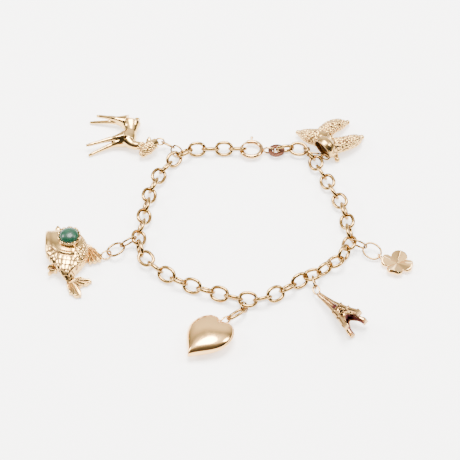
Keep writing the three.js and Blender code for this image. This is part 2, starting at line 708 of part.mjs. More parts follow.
/** Rings of the cap's bowl, set in from its outer skin. */
function capBowl(inset, from) {
  const across = new THREE.Vector3().crossVectors(UP, CAP_AXIS).normalize();
  const upward = new THREE.Vector3().crossVectors(CAP_AXIS, across);
  const rows = [
    { depth: 0, half: 0.5 },
    { depth: 0.35, half: 0.52 },
    { depth: 0.7, half: 0.46 },
    { depth: 1, half: 0.3 },
  ];
  const rings = rows.map(({ depth, half }, i) => {
    const centre = CAP_AXIS.clone().multiplyScalar(i === 0 ? from : depth * (CAP_DEPTH - inset));
    const radius = half * CAP_MOUTH - inset;
    return ellipse(centre, across.clone().multiplyScalar(radius), upward.clone().multiplyScalar(radius), 14);
  });
  return solidOf(skin(rings));
}

function capBody() {
  const horns = CAP_HORNS.flatMap(({ thick, points }) => {
    const path = points.map((point) => point.map((share) => share * CAP_REACH));
    const root = (thick * CAP_HORN) / 2;
    const tip = path[path.length - 1];
    return [
      limb([[0, 0, 0].map((_, i) => path[0][i] * 0.6), ...path], [root * 0.85, root, root * 0.8, root * 0.18], 9, 7, 0.9),
      ball(tip, CAP_BELL / 2, 8),
    ];
  });
  const crown = limb([[0.1, 0.16, 0.01], [0.23, 0.26, 0.01]].map((point) => (
    point.map((share) => share * CAP_REACH)
  )), [CAP_HORN * 0.5, CAP_HORN * 0.36], 9, 2);
  return join([capBowl(0, 0), crown, ...horns]).subtract(capBowl(CAP_WALL, -CAP_WALL));
}

const capHang = new THREE.Vector3().crossVectors(CAP_AXIS, UP).normalize();
capHang.applyAxisAngle(CAP_AXIS, 40 * DEG).multiplyScalar((CAP_MOUTH - CAP_WALL) / 2);

addCharm("cap", {
  from: { link: 41, upper: true, turn: -3 },
  rings: [
    { name: "cap_small_ring", size: CAP_SMALL_RING, heading: 47, end: 1.44, roll: -23 },
    { name: "cap_ring", size: CAP_RING, heading: -5, end: 1.98, roll: 21 },
  ],
  eyelet: { size: CAP_EYELET, heading: -20, roll: -66 },
}, capBody().translate(capHang.clone().negate().toArray()));

// Fawn, lying on its side: its head hangs at the origin, its feet point along -X

const DEER_LIMBS = [
  {
    name: "trunk", radii: [0.42, 0.5, 0.42], flat: 0.8,
    points: [[-0.38, 0.41, 0.5], [-0.37, 0.23, 0.5], [-0.41, 0.03, 0.48]],
  },
  {
    name: "neck", radii: [0.34, 0.24, 0.22], flat: 1,
    points: [[-0.4, 0.02, 0.48], [-0.33, -0.055, 0.48], [-0.18, -0.095, 0.52]],
  },
  {
    name: "head", radii: [0.14, 0.34, 0.2], flat: 0.9,
    points: [[-0.21, -0.235, 0.28], [-0.125, -0.15, 0.5], [0.01, 0.0, 0.55]],
  },
];
const DEER_EARS = [
  { name: "upper ear", points: [[-0.1, -0.07, 0.6], [-0.09, 0.03, 0.8]] },
  { name: "lower ear", points: [[-0.05, -0.09, 0.5], [0.04, -0.15, 0.62]] },
];
const DEER_LEGS = [
  { name: "hind near", points: [[-0.43, 0.38, 0.44], [-0.595, 0.42, 0.4], [-0.75, 0.445, 0.28], [-0.985, 0.48, 0.09]] },
  { name: "hind far", points: [[-0.43, 0.38, 0.6], [-0.6, 0.435, 0.6], [-0.73, 0.475, 0.56], [-0.88, 0.52, 0.48]] },
  { name: "fore far", points: [[-0.45, 0.07, 0.56], [-0.625, 0.05, 0.52], [-0.8, -0.005, 0.5], [-1.0, -0.065, 0.44]] },
  { name: "fore near", points: [[-0.46, 0.04, 0.4], [-0.63, -0.02, 0.3], [-0.8, -0.1, 0.2], [-0.965, -0.18, 0.09]] },
];

/** Points of the fawn, from shares of its height and thickness. */
function deerPath(points) {
  return points.map(([x, y, z]) => [x * DEER_HEIGHT, y * DEER_HEIGHT, z * DEER_THICK]);
}

function deerBody() {
  const limbs = DEER_LIMBS.map(({ points, radii, flat }) => (
    limb(deerPath(points), radii.map((share) => share * DEER_TRUNK), 10, 6, flat)
  ));
  const ears = DEER_EARS.map(({ points }) => limb(deerPath(points), [0.6, 0.85, 0.2], 6, 3, 0.5));
  const legs = DEER_LEGS.map(({ points }) => (
    limb(deerPath(points), [DEER_LEG * 1.7, DEER_LEG * 1.05, DEER_LEG * 0.62, DEER_LEG * 0.5], 7, 6)
  ));
  const tail = ball([-0.28 * DEER_HEIGHT, 0.42 * DEER_HEIGHT, 0.58 * DEER_THICK], DEER_TRUNK * 0.16, 7);
  return join([...limbs, ...ears, ...legs, tail]);
}

addCharm("deer", {
  from: { link: 4, turn: 26 },
  rings: [
    { name: "deer_jump_ring", size: DEER_RING, heading: 139, end: 1.95, roll: 51 },
    { name: "deer_link", size: DEER_LINK, heading: 155, end: 2.67, roll: -45 },
  ],
  eyelet: { size: DEER_EYELET, heading: 176, roll: 50 },
}, deerBody().translate([0, 0, -DEER_HANG]));

// Fish, lying on its side: its fin hangs at the origin

const FISH_SECTIONS = [
  { back: [-0.765, 0.345], belly: [-0.735, -0.05], thick: 0.6, middle: 0.5 },
  { back: [-0.735, 0.375], belly: [-0.715, -0.09], thick: 0.76, middle: 0.5 },
  { back: [-0.645, 0.38], belly: [-0.67, -0.16], thick: 0.86, middle: 0.5 },
  { back: [-0.47, 0.38], belly: [-0.585, -0.26], thick: 1, middle: 0.5 },
  { back: [-0.275, 0.29], belly: [-0.525, -0.34], thick: 0.94, middle: 0.48 },
  { back: [-0.185, 0.085], belly: [-0.49, -0.38], thick: 0.8, middle: 0.42 },
  { back: [-0.205, -0.12], belly: [-0.465, -0.41], thick: 0.62, middle: 0.34 },
  { back: [-0.325, -0.28], belly: [-0.44, -0.425], thick: 0.4, middle: 0.25 },
  { back: [-0.35, -0.37], belly: [-0.425, -0.44], thick: 0.22, middle: 0.2 },
];
const FISH_TAIL = [
  [-0.39, -0.37], [-0.285, -0.335], [-0.175, -0.35], [-0.095, -0.41], [-0.21, -0.47], [-0.265, -0.485],
  [-0.225, -0.66], [-0.34, -0.64], [-0.415, -0.56], [-0.44, -0.43],
];
const FISH_BACK_FIN = [[-0.29, 0.25], [-0.135, 0.18], [-0.015, 0.05], [0.01, -0.01], [-0.01, -0.07], [-0.225, -0.12]];
const FISH_BELLY_FIN = [[-0.62, -0.12], [-0.73, -0.2], [-0.68, -0.23], [-0.695, -0.31], [-0.565, -0.26]];
const FISH_RIBS = [[-0.17, -0.105], [-0.11, -0.095], [-0.05, -0.08], [0.0, -0.03]];
const FISH_EYE = [-0.425, 0.15];

/** Rings of the fish's body, shrunk about their middles. */
function fishRings(rows, shrink) {
  return rows.map(({ back, belly, thick, middle }, i) => {
    const [top, low] = [back, belly].map(([x, y]) => new THREE.Vector3(x * FISH_LENGTH, y * FISH_LENGTH, 0));
    const centre = top.clone().add(low).multiplyScalar(0.5).setZ(middle * FISH_THICK);
    const across = top.clone().sub(low).multiplyScalar(shrink[i] / 2);
    const upward = UP.clone().multiplyScalar((thick * FISH_THICK * shrink[i]) / 2);
    return ellipse(centre, across, upward, 14);
  });
}

function fishMouth() {
  const [rim, , cheek] = FISH_SECTIONS;
  const before = { ...rim, back: [rim.back[0] - 0.03, rim.back[1]], belly: [rim.belly[0] - 0.03, rim.belly[1]] };
  const inner = { ...cheek, back: [cheek.back[0] + 0.06, cheek.back[1]], belly: [cheek.belly[0] + 0.06, cheek.belly[1]] };
  return solidOf(skin(fishRings([before, rim, cheek, inner], [0.86, 0.82, 0.66, 0.3])));
}

/** The bezel's middle, at the height of its foot. */
function eyeSeat(high) {
  return [FISH_EYE[0] * FISH_LENGTH, FISH_EYE[1] * FISH_LENGTH, high];
}

function bezel() {
  const outer = STONE_DIAMETER / 2 + STONE_GAP + BEZEL_WALL;
  const foot = FISH_THICK - BEZEL_HEIGHT / 2;
  const cup = new THREE.CylinderGeometry(outer, outer * 0.86, BEZEL_HEIGHT, 20).rotateX(Math.PI / 2);
  let body = solidOf(cup.translate(0, 0, BEZEL_HEIGHT / 2));
  for (let tooth = 0; tooth < BEZEL_TEETH; tooth += 1) {
    const notch = new THREE.BoxGeometry(outer, BEZEL_WALL, BEZEL_WALL).rotateX(Math.PI / 4);
    notch.translate(outer, 0, BEZEL_HEIGHT).rotateZ((tooth / BEZEL_TEETH) * 2 * Math.PI);
    body = body.subtract(solidOf(notch));
  }
  return body.translate(eyeSeat(foot));
}

/** The stone, or the seat that holds it with a clearance. */
function cabochon(clearance) {
  const radius = STONE_DIAMETER / 2 + clearance;
  const floor = FISH_THICK - clearance;
  const girdle = FISH_THICK + BEZEL_HEIGHT / 2 - 0.35 + clearance;
  const profile = [
    [0, floor], [radius, floor], [radius, girdle],
    ...[0.3, 0.55, 0.8].map((share) => [
      radius * Math.cos((share * Math.PI) / 2),
      girdle + (STONE_HEIGHT - (girdle - floor)) * Math.sin((share * Math.PI) / 2),
    ]),
    [0, floor + STONE_HEIGHT + clearance],
  ].map(([x, z]) => new THREE.Vector2(x, z));
  const turned = new THREE.LatheGeometry(profile, 18).rotateX(Math.PI / 2);
  return turned.translate(...eyeSeat(0));
}

function fishBody() {
  const all = FISH_SECTIONS.map(() => 1);
  const body = solidOf(skin(fishRings(FISH_SECTIONS, all)));
  const fins = [
    plate(FISH_TAIL, FISH_LENGTH, 0.1, 0.1 + FISH_FIN_THICK),
    plate(FISH_BACK_FIN, FISH_LENGTH, 0.5, 0.5 + FISH_FIN_THICK),
    plate(FISH_BELLY_FIN, FISH_LENGTH, 0.9, 0.9 + FISH_FIN_THICK),
  ];
  const root = new THREE.Vector3(-0.23 * FISH_LENGTH, 0.2 * FISH_LENGTH, 0.5 + FISH_FIN_THICK);
  const ribs = FISH_RIBS.map(([x, y]) => {
    const tip = new THREE.Vector3(x * FISH_LENGTH, y * FISH_LENGTH, root.z - 0.15);
    const start = root.clone().lerp(tip, 0.15);
    return limb([start.toArray(), tip.toArray()], [FISH_RIB / 2, FISH_RIB / 2], 6, 1);
  });
  const spine = limb(
    [[-0.6, 0.36, 0.5], [-0.615, 0.45, 0.62]].map(([x, y, z]) => [x * FISH_LENGTH, y * FISH_LENGTH, z * FISH_THICK]),
    [0.7, 0.15], 6, 2,
  );
  return join([body, ...fins, ...ribs, spine, bezel()]).subtract(fishMouth()).subtract(solidOf(cabochon(STONE_GAP)));
}

const fishPlace = addCharm("fish", {
  from: { link: 13, turn: 27 },
  rings: [
    { name: "fish_loop", size: FISH_LOOP, heading: -151, end: 2.06, roll: -6 },
    { name: "fish_jump_ring", size: FISH_RING, heading: -142, end: 1.45, roll: -73 },
  ],
  eyelet: { size: FISH_EYELET, heading: -155, roll: 26 },
}, fishBody().translate([0, 0, -FISH_HANG]));
addPiece("fish_stone", geometryOf(solidOf(cabochon(0)).translate([0, 0, -FISH_HANG])), STONE, fishPlace);

// The origin goes to the middle of the footprint, on the surface
bracelet.updateMatrixWorld(true);
const footprint = new THREE.Box3().setFromObject(bracelet, true);
const middle = footprint.getCenter(new THREE.Vector3()).setZ(footprint.min.z);
bracelet.position.copy(middle.negate());

export default bracelet;
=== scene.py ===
"""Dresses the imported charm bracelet: links, rings and cast charms in gold, rose gold and stone."""

import json
import logging
import math
from dataclasses import dataclass, field
from enum import Enum

import bmesh
import bpy
import numpy as np
from mathutils import Matrix, Vector
from mathutils.kdtree import KDTree


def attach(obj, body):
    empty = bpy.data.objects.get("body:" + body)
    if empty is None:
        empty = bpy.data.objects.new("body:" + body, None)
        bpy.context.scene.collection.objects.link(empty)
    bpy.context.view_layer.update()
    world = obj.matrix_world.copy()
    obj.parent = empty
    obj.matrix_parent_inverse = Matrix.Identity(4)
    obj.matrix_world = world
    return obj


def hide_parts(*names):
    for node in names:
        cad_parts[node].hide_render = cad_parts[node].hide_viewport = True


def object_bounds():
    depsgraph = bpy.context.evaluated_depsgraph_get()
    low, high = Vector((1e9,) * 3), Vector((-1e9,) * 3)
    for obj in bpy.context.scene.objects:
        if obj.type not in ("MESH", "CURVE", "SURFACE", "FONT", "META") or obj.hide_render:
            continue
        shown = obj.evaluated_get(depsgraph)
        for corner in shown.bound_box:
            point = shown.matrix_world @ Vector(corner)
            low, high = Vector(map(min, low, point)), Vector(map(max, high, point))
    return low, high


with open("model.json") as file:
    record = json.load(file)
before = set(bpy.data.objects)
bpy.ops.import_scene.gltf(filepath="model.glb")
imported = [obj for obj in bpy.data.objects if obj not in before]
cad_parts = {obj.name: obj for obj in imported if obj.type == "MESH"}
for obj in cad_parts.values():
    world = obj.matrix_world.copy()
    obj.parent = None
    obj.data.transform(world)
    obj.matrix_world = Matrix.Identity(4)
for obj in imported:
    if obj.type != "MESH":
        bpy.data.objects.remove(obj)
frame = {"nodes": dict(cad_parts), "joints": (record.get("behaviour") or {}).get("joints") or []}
CAD_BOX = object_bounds()

LOG = logging.getLogger("charm_bracelet")
MM = 0.001
UP = np.array([0.0, 0.0, 1.0])
RING_GAP = 0.1
WELD = 1e-5
CORNERS = ((1, 1), (1, -1), (-1, -1), (-1, 1))
CLASP_PLACE = (6.14, 28.97, 1.5)
CLASP_CENTRE = np.array(frame["joints"][0]["pos_m"]) / MM
TABLE_SHIFT = CLASP_CENTRE - np.array(CLASP_PLACE)


class Body(Enum):
    """The rigid bodies that pieces ride on."""

    ROOT = "root"
    BOLT = "clasp_bolt"


class Slot(Enum):
    """The record's material slots."""

    GOLD = "gold"
    ROSE = "rose"
    STONE = "stone"


# Shader building


class Term:
    """A number in a shader, which adds Math nodes when it is used in an expression."""

    def __init__(self, maker: "Shader", socket: bpy.types.NodeSocket) -> None:
        """Wraps an output socket.

        Args:
            maker: the shader that the socket's node is in.
            socket: the output socket.
        """
        self.maker = maker
        self.socket = socket

    def _math(self, operation: str, first: object, second: object) -> "Term":
        """Adds one Math node.

        Args:
            operation: the Math node's operation.
            first: its first value or term.
            second: its second value or term.

        Returns:
            The node's result.
        """
        return self.maker.term("ShaderNodeMath", {"operation": operation}, {0: first, 1: second})

    def __add__(self, other: object) -> "Term":
        """Adds a value or a term."""
        return self._math("ADD", self, other)

    __radd__ = __add__

    def __sub__(self, other: object) -> "Term":
        """Takes a value or a term away."""
        return self._math("SUBTRACT", self, other)

    def __rsub__(self, other: object) -> "Term":
        """Takes this term away from a value."""
        return self._math("SUBTRACT", other, self)

    def __mul__(self, other: object) -> "Term":
        """Multiplies by a value or a term."""
        return self._math("MULTIPLY", self, other)

    __rmul__ = __mul__

    def clamped(self) -> "Term":
        """Limits the number to 0 to 1."""
        return self.maker.term("ShaderNodeClamp", {}, {0: self, 1: 0.0, 2: 1.0})


def feed(tree: bpy.types.NodeTree, target: bpy.types.NodeSocket, value: object) -> None:
    """Sets or links an input socket.

    Args:
        tree: the tree that the socket's node is in.
        target: the input socket.
        value: a term, an output socket, a number, a colour or a vector.
    """
    if isinstance(value, Term):
        value = value.socket
    if isinstance(value, bpy.types.NodeSocket):
        tree.links.new(value, target)
    elif isinstance(value, tuple) and target.type == "RGBA":
        target.default_value = (*value, 1.0) if len(value) == 3 else value
    else:
        target.default_value = value


def add_node(
    tree: bpy.types.NodeTree, kind: str, settings: dict[str, object], values: dict[object, object],
) -> bpy.types.Node:
    """Adds a node to a tree.

    Args:
        tree: the tree.
        kind: the node's type.
        settings: its properties, set first.
        values: its input sockets' values, terms or output sockets, by index or name.

    Returns:
        The node.
    """
    made = tree.nodes.new(kind)
    for key, value in settings.items():
        setattr(made, key, value)
    for key, value in values.items():
        feed(tree, made.inputs[key], value)
    return made


class Shader:
    """A material under construction, with one way to add any node."""

    def __init__(self, name: str) -> None:
        """Starts a material with a Principled BSDF.

        Args:
            name: the material's name.
        """
        self.material = bpy.data.materials.new(name)
        self.material.use_nodes = True
        self.tree = self.material.node_tree
        self.bsdf = self.tree.nodes["Principled BSDF"]

    def node(self, kind: str, settings: dict[str, object], values: dict[object, object]) -> bpy.types.Node:
        """Adds a node to the material."""
        return add_node(self.tree, kind, settings, values)

    def surface(self, values: dict[str, object]) -> None:
        """Sets or links inputs of the Principled BSDF, by name."""
        for name, value in values.items():
            feed(self.tree, self.bsdf.inputs[name], value)

    def term(
        self, kind: str, settings: dict[str, object], values: dict[object, object], out: object = 0,
    ) -> Term:
        """Adds a node and wraps one of its outputs.

        Args:
            kind: the node's type.
            settings: its properties.
            values: its inputs.
            out: the output's index or name.

        Returns:
            The output as a term.
        """
        return Term(self, self.node(kind, settings, values).outputs[out])

    def place(self, scale: tuple[float, float, float]) -> bpy.types.NodeSocket:
        """Object coordinates in millimetres, stretched by a scale.

        Args:
            scale: the scale along each axis.

        Returns:
            The coordinates' socket.
        """
        where = self.node("ShaderNodeTexCoord", {}, {}).outputs["Object"]
        grown = tuple(s / MM for s in scale)
        return self.node("ShaderNodeVectorMath", {"operation": "MULTIPLY"}, {0: where, 1: grown}).outputs[0]

    def noise(self, scale: tuple[float, float, float], detail: float = 3.0, rough: float = 0.55) -> Term:
        """Noise on the object's own coordinates.

        Args:
            scale: how many cells a millimetre along each axis.
            detail: the noise's detail.
            rough: its roughness.

        Returns:
            The noise, 0 to 1.
        """
        values = {"Vector": self.place(scale), "Scale": 1.0, "Detail": detail, "Roughness": rough}
        return self.term("ShaderNodeTexNoise", {}, values)

    def mark(self, name: str) -> Term:
        """A number stored on the mesh's points."""
        return self.term("ShaderNodeAttribute", {"attribute_name": name}, {}, "Fac")

    def mix(self, share: object, first: object, second: object) -> bpy.types.NodeSocket:
        """Mixes two colours.

        Args:
            share: how much of the second.
            first: the first colour.
            second: the second colour.

        Returns:
            The mixed colour's socket.
        """
        node = self.node("ShaderNodeMix", {"data_type": "RGBA"}, {0: share, 6: first, 7: second})
        return node.outputs[2]

    def bump(self, height: Term, strength: float, depth: float) -> None:
        """Feeds a height to the surface's normal.

        Args:
            height: the height, 0 to 1.
            strength: the Bump node's strength.
            depth: the height's real depth in millimetres.
        """
        values = {"Strength": strength, "Distance": depth * MM, "Height": height}
        self.surface({"Normal": self.node("ShaderNodeBump", {}, values).outputs[0]})


@dataclass(frozen=True)
class GoldFinish:
    """A gold finish: polished where it is proud, darker and duller in its recesses, where the recess mark
    holds patina and painted shade.
    """

    name: str
    colour: tuple[float, float, float] = (0.5, 0.3, 0.1)
    deep: tuple[float, float, float] = (0.38, 0.22, 0.065)
    recess: tuple[float, float, float] = (0.12, 0.06, 0.025)
    roughness: float = 0.12
    wear: float = 0.1
    recess_strength: float = 0.8

    def material(self) -> bpy.types.Material:
        """The finish as a material.

        Returns:
            The material, made once.
        """
        found = bpy.data.materials.get(self.name)
        if found:
            return found
        shader = Shader(self.name)
        clouds = shader.noise((0.3, 0.3, 0.3), 2.0)
        rub = shader.noise((2.2, 0.5, 1.4), 4.0, 0.65)
        recess = (shader.mark("recess") * self.recess_strength).clamped()
        body = shader.mix(clouds, self.colour, self.deep)
        dull = self.roughness + (rub - 0.35) * self.wear + recess * 0.22
        shader.surface({
            # Base colour darkens with the recess mark, which holds patina and painted shade.
            "Base Color": shader.mix(recess, body, self.recess),
            "Metallic": 1.0,
            "Roughness": dull.clamped(),
        })
        fine = shader.noise((9.0, 2.0, 6.0), 2.0)
        shader.bump(fine * 0.5 + rub * 0.5, 0.12, 0.01)
        return shader.material


@dataclass(frozen=True)
class StoneFinish:
    """A polished green cabochon with faint veins."""

    name: str
    light: tuple[float, float, float] = (0.002, 0.06, 0.026)
    dark: tuple[float, float, float] = (0.0005, 0.028, 0.012)

    def material(self) -> bpy.types.Material:
        """The finish as a material.

        Returns:
            The material, made once.
        """
        found = bpy.data.materials.get(self.name)
        if found:
            return found
        shader = Shader(self.name)
        veins = shader.noise((0.55, 0.9, 0.8), 5.0, 0.6)
        depth = ((veins - 0.35) * 2.2).clamped()
        shader.surface({
            "Base Color": shader.mix(depth, self.dark, self.light),
            "Specular IOR Level": 0.25,
            "Roughness": 0.34 + veins * 0.12,
            "Coat Weight": 0.3,
            "Coat Roughness": 0.2,
            "Subsurface Weight": 0.15,
            "Subsurface Scale": 0.4 * MM,
        })
        return shader.material


# Every gold piece is one alloy; these finishes differ in brightness to match how lit each piece looks, so the
# dark chain and ring colours are painted shade and the bright heart and clover colours are painted light.
CHAIN_GOLD = GoldFinish(
    "chain_gold", colour=(0.44, 0.265, 0.09), deep=(0.34, 0.2, 0.06), roughness=0.15, wear=0.12,
)
RING_GOLD = GoldFinish(
    "ring_gold", colour=(0.36, 0.215, 0.075), deep=(0.28, 0.16, 0.05), roughness=0.14,
)
CLASP_GOLD = GoldFinish("clasp_gold", colour=(0.6, 0.37, 0.16), deep=(0.5, 0.3, 0.12), roughness=0.1)
HEART_GOLD = GoldFinish(
    "heart_gold", colour=(0.88, 0.54, 0.21), deep=(0.78, 0.46, 0.17), roughness=0.13, wear=0.16,
)
CAST_GOLD = GoldFinish(
    "cast_gold", colour=(0.7, 0.45, 0.17), deep=(0.6, 0.37, 0.125), roughness=0.13, wear=0.14,
    recess_strength=1.0,
)
CLOVER_GOLD = GoldFinish(
    "clover_gold", colour=(0.84, 0.53, 0.22), deep=(0.74, 0.45, 0.17), roughness=0.1,
)
TOWER_GOLD = GoldFinish(
    "tower_gold", colour=(0.6, 0.38, 0.17), recess=(0.085, 0.022, 0.022), recess_strength=1.5,
)
TAG_GOLD = GoldFinish(
    "tag_rose_gold", colour=(0.12, 0.05, 0.03), deep=(0.09, 0.036, 0.022), roughness=0.36, wear=0.16,
)
CABOCHON = StoneFinish("green_cabochon")


# Geometry helpers, in millimetres of the table's frame


def heading_vector(heading: float) -> np.ndarray:
    """A level unit vector at a heading in degrees."""
    return np.array([math.cos(math.radians(heading)), math.sin(math.radians(heading)), 0.0])


def unit(vector: np.ndarray) -> np.ndarray:
    """A vector's direction."""
    return vector / np.linalg.norm(vector)


def loop_axes(direction: np.ndarray, roll: float) -> np.ndarray:
    """The axes of a loop whose long axis points along a direction.

    Args:
        direction: the long axis.
        roll: 0 where the loop stands upright, 90 where it lies flat.

    Returns:
        Long axis, side and normal as columns.
    """
    across = unit(np.cross(UP, direction))
    over = np.cross(direction, across)
    normal = across * math.cos(math.radians(roll)) + over * math.sin(math.radians(roll))
    return np.column_stack([direction, np.cross(normal, direction), normal])


@dataclass
class Route:
    """A smooth curve through a few points, with centripetal spacing."""

    points: np.ndarray

    def at(self, share: float) -> np.ndarray:
        """The curve's point at a share of its spans.

        Args:
            share: 0 at the first point, 1 at the last.

        Returns:
            The point.
        """
        p = self.points
        last = len(p) - 1
        place = last * share
        cell = min(int(place), last - 1)
        weight = place - cell
        before = p[cell - 1] if cell > 0 else 2 * p[0] - p[1]
        after = p[cell + 2] if cell + 2 <= last else 2 * p[last] - p[last - 1]
        corners = (before, p[cell], p[cell + 1], after)
        gaps = [max(math.sqrt(float(np.linalg.norm(b - a))), 1e-4) for a, b in zip(corners, corners[1:])]
        x0, x1, x2, x3 = corners
        d0, d1, d2 = gaps
        t1 = ((x1 - x0) / d0 - (x2 - x0) / (d0 + d1) + (x2 - x1) / d1) * d1
        t2 = ((x2 - x1) / d1 - (x3 - x1) / (d1 + d2) + (x3 - x2) / d2) * d1
        c2 = -3 * x1 + 3 * x2 - 2 * t1 - t2
        c3 = 2 * x1 - 2 * x2 + t1 + t2
        return x1 + t1 * weight + c2 * weight**2 + c3 * weight**3

    def tangent(self, share: float) -> np.ndarray:
        """The curve's direction at a share of its spans."""
        step = 1e-4
        return unit(self.at(min(1.0, share + step)) - self.at(max(0.0, share - step)))


@dataclass
class Form:
    """A closed mesh under construction: points in millimetres and faces."""

    points: list[np.ndarray] = field(default_factory=list)
    faces: list[tuple[int, ...]] = field(default_factory=list)

    def skin(self, rings: list[np.ndarray], closed: bool = False) -> "Form":
        """Adds a skin over rings of points, capped at both ends or closed on itself.

        Args:
            rings: the rings, each an array of points.
            closed: whether the last ring joins the first.

        Returns:
            The form itself.
        """
        base = len(self.points)
        count = len(rings[0])
        for ring in rings:
            self.points.extend(ring)
        bands = len(rings) if closed else len(rings) - 1
        for i in range(bands):
            near = base + i * count
            far = base + ((i + 1) % len(rings)) * count
            for k in range(count):
                step = (k + 1) % count
                self.faces.append((near + k, near + step, far + step, far + k))
        if not closed:
            for start, ring in ((base, rings[0]), (base + (len(rings) - 1) * count, rings[-1])):
                hub = len(self.points)
                self.points.append(np.mean(ring, axis=0))
                for k in range(count):
                    self.faces.append((start + k, start + (k + 1) % count, hub))
        return self

    def limb(
        self, points: list, radii: list[float], flat: float = 1.0, sides: int = 24, steps: int = 36,
    ) -> "Form":
        """Adds a round tapered limb through a few points.

        Args:
            points: the limb's points.
            radii: its radius along it, spaced evenly.
            flat: its depth as a share of its width.
            sides: faces round it.
            steps: faces along it.

        Returns:
            The form itself.
        """
        route = Route(np.array(points, float))
        rings = []
        for i in range(steps + 1):
            share = i / steps
            along = route.tangent(share)
            lean = np.array([1.0, 0.0, 0.0]) if abs(along[2]) > 0.9 else UP
            across = unit(np.cross(lean, along))
            upward = np.cross(along, across)
            radius = float(np.interp(share * (len(radii) - 1), range(len(radii)), radii))
            rings.append(ellipse(route.at(share), across * radius, upward * radius * flat, sides))
        return self.skin(rings)

    def ball(self, centre: list[float], radius: float, sides: int = 20) -> "Form":
        """Adds a ball.

        Args:
            centre: its centre.
            radius: its radius.
            sides: faces round it.

        Returns:
            The form itself.
        """
        rings = []
        for i in range(1, sides // 2):
            angle = math.pi * i / (sides // 2)
            middle = np.array(centre) + UP * radius * math.cos(angle)
            across = np.array([1.0, 0.0, 0.0]) * radius * math.sin(angle)
            upward = np.array([0.0, 1.0, 0.0]) * radius * math.sin(angle)
            rings.append(ellipse(middle, across, upward, sides))
        return self.skin(rings)

    def object(self, name: str) -> bpy.types.Object:
        """The form as an object, its faces pointing outwards.

        Args:
            name: the object's name.

        Returns:
            The object, linked to the scene.
        """
        mesh = bpy.data.meshes.new(name)
        mesh.from_pydata([tuple(p) for p in self.points], [], self.faces)
        weld(mesh)
        made = bpy.data.objects.new(name, mesh)
        bpy.context.scene.collection.objects.link(made)
        return made


def ellipse(centre: np.ndarray, across: np.ndarray, upward: np.ndarray, sides: int) -> np.ndarray:
    """A ring of points about a centre, across two half-axis vectors."""
    angles = np.arange(sides) / sides * 2 * math.pi
    return centre + np.outer(np.cos(angles), across) + np.outer(np.sin(angles), upward)


def coordinates(mesh: bpy.types.Mesh) -> np.ndarray:
    """A mesh's points as an array."""
    flat = np.zeros(len(mesh.vertices) * 3, np.float32)
    mesh.vertices.foreach_get("co", flat)
    return flat.reshape(-1, 3).astype(float)


def move_to(mesh: bpy.types.Mesh, points: np.ndarray) -> None:
    """Puts a mesh's points where an array says."""
    mesh.vertices.foreach_set("co", points.astype(np.float32).ravel())
    mesh.update()


def weld(mesh: bpy.types.Mesh) -> None:
    """Merges a mesh's doubled points and turns its faces outwards."""
    bm = bmesh.new()
    bm.from_mesh(mesh)
    bmesh.ops.remove_doubles(bm, verts=bm.verts, dist=WELD)
    bmesh.ops.recalc_face_normals(bm, faces=bm.faces)
    bm.to_mesh(mesh)
    bm.free()


def normals(mesh: bpy.types.Mesh) -> np.ndarray:
    """A mesh's point normals as an array."""
    return np.array([n.vector for n in mesh.vertex_normals])


def evaluated(item: bpy.types.Object) -> bpy.types.Mesh:
    """Turns an object and its modifiers into a plain mesh, and removes the modifiers.

    Args:
        item: the object.

    Returns:
        Its new mesh.
    """
    graph = bpy.context.evaluated_depsgraph_get()
    graph.update()
    mesh = bpy.data.meshes.new_from_object(item.evaluated_get(graph), depsgraph=graph)
    item.modifiers.clear()
    old = item.data
    item.data = mesh
    mesh.name = item.name
    if isinstance(old, bpy.types.Mesh) and old.users == 0:
        bpy.data.meshes.remove(old)
    return mesh


def fuse(item: bpy.types.Object, voxel: float, passes: int) -> bpy.types.Mesh:
    """Joins overlapping closed forms into one smooth skin.

    Args:
        item: the object, in millimetres.
        voxel: the size of the new faces.
        passes: how often the skin is smoothed.

    Returns:
        The new mesh.
    """
    remesh = item.modifiers.new("skin", "REMESH")
    remesh.mode = "VOXEL"
    remesh.voxel_size = voxel
    remesh.use_smooth_shade = True
    smooth = item.modifiers.new("soft", "SMOOTH")
    smooth.iterations = passes
    smooth.factor = 0.6
    return evaluated(item)


def store(mesh: bpy.types.Mesh, name: str, values: np.ndarray) -> None:
    """Stores a number on each of a mesh's points."""
    mark = mesh.attributes.get(name) or mesh.attributes.new(name, "FLOAT", "POINT")
    mark.data.foreach_set("value", np.clip(values, 0, 1).astype(np.float32))


def stored(mesh: bpy.types.Mesh, name: str) -> np.ndarray:
    """The numbers stored on a mesh's points under a name."""
    values = np.zeros(len(mesh.vertices), np.float32)
    mesh.attributes[name].data.foreach_get("value", values)
    return values


def carve(item: bpy.types.Object, *tools: bpy.types.Object) -> None:
    """Cuts tools out of an object, and removes the tools.

    Args:
        item: the object.
        tools: the closed forms that are cut out of it.
    """
    for tool in tools:
        cut = item.modifiers.new(tool.name, "BOOLEAN")
        cut.object = tool
        cut.operation = "DIFFERENCE"
    evaluated(item)
    for tool in tools:
        bpy.data.objects.remove(tool)


def mark_recesses(mesh: bpy.types.Mesh, reach: float, gain: float) -> None:
    """Marks how far each point lies below its surroundings.

    Args:
        mesh: the mesh, in millimetres.
        reach: how far round each point its surroundings are read.
        gain: the mark for each millimetre below them.
    """
    points = coordinates(mesh)
    facing = normals(mesh)
    edges = np.zeros(len(mesh.edges) * 2, np.int32)
    mesh.edges.foreach_get("vertices", edges)
    a, b = edges.reshape(-1, 2).T
    count = np.bincount(np.concatenate([a, b]), minlength=len(points)).clip(1)[:, None]
    around = points.copy()
    length = float(np.median(np.linalg.norm(points[a] - points[b], axis=1)))
    for _ in range(max(1, round((reach / length) ** 2))):
        total = np.zeros_like(around)
        np.add.at(total, a, around[b])
        np.add.at(total, b, around[a])
        around = total / count
    depth = np.einsum("ij,ij->i", around - points, facing)
    store(mesh, "recess", depth * gain)


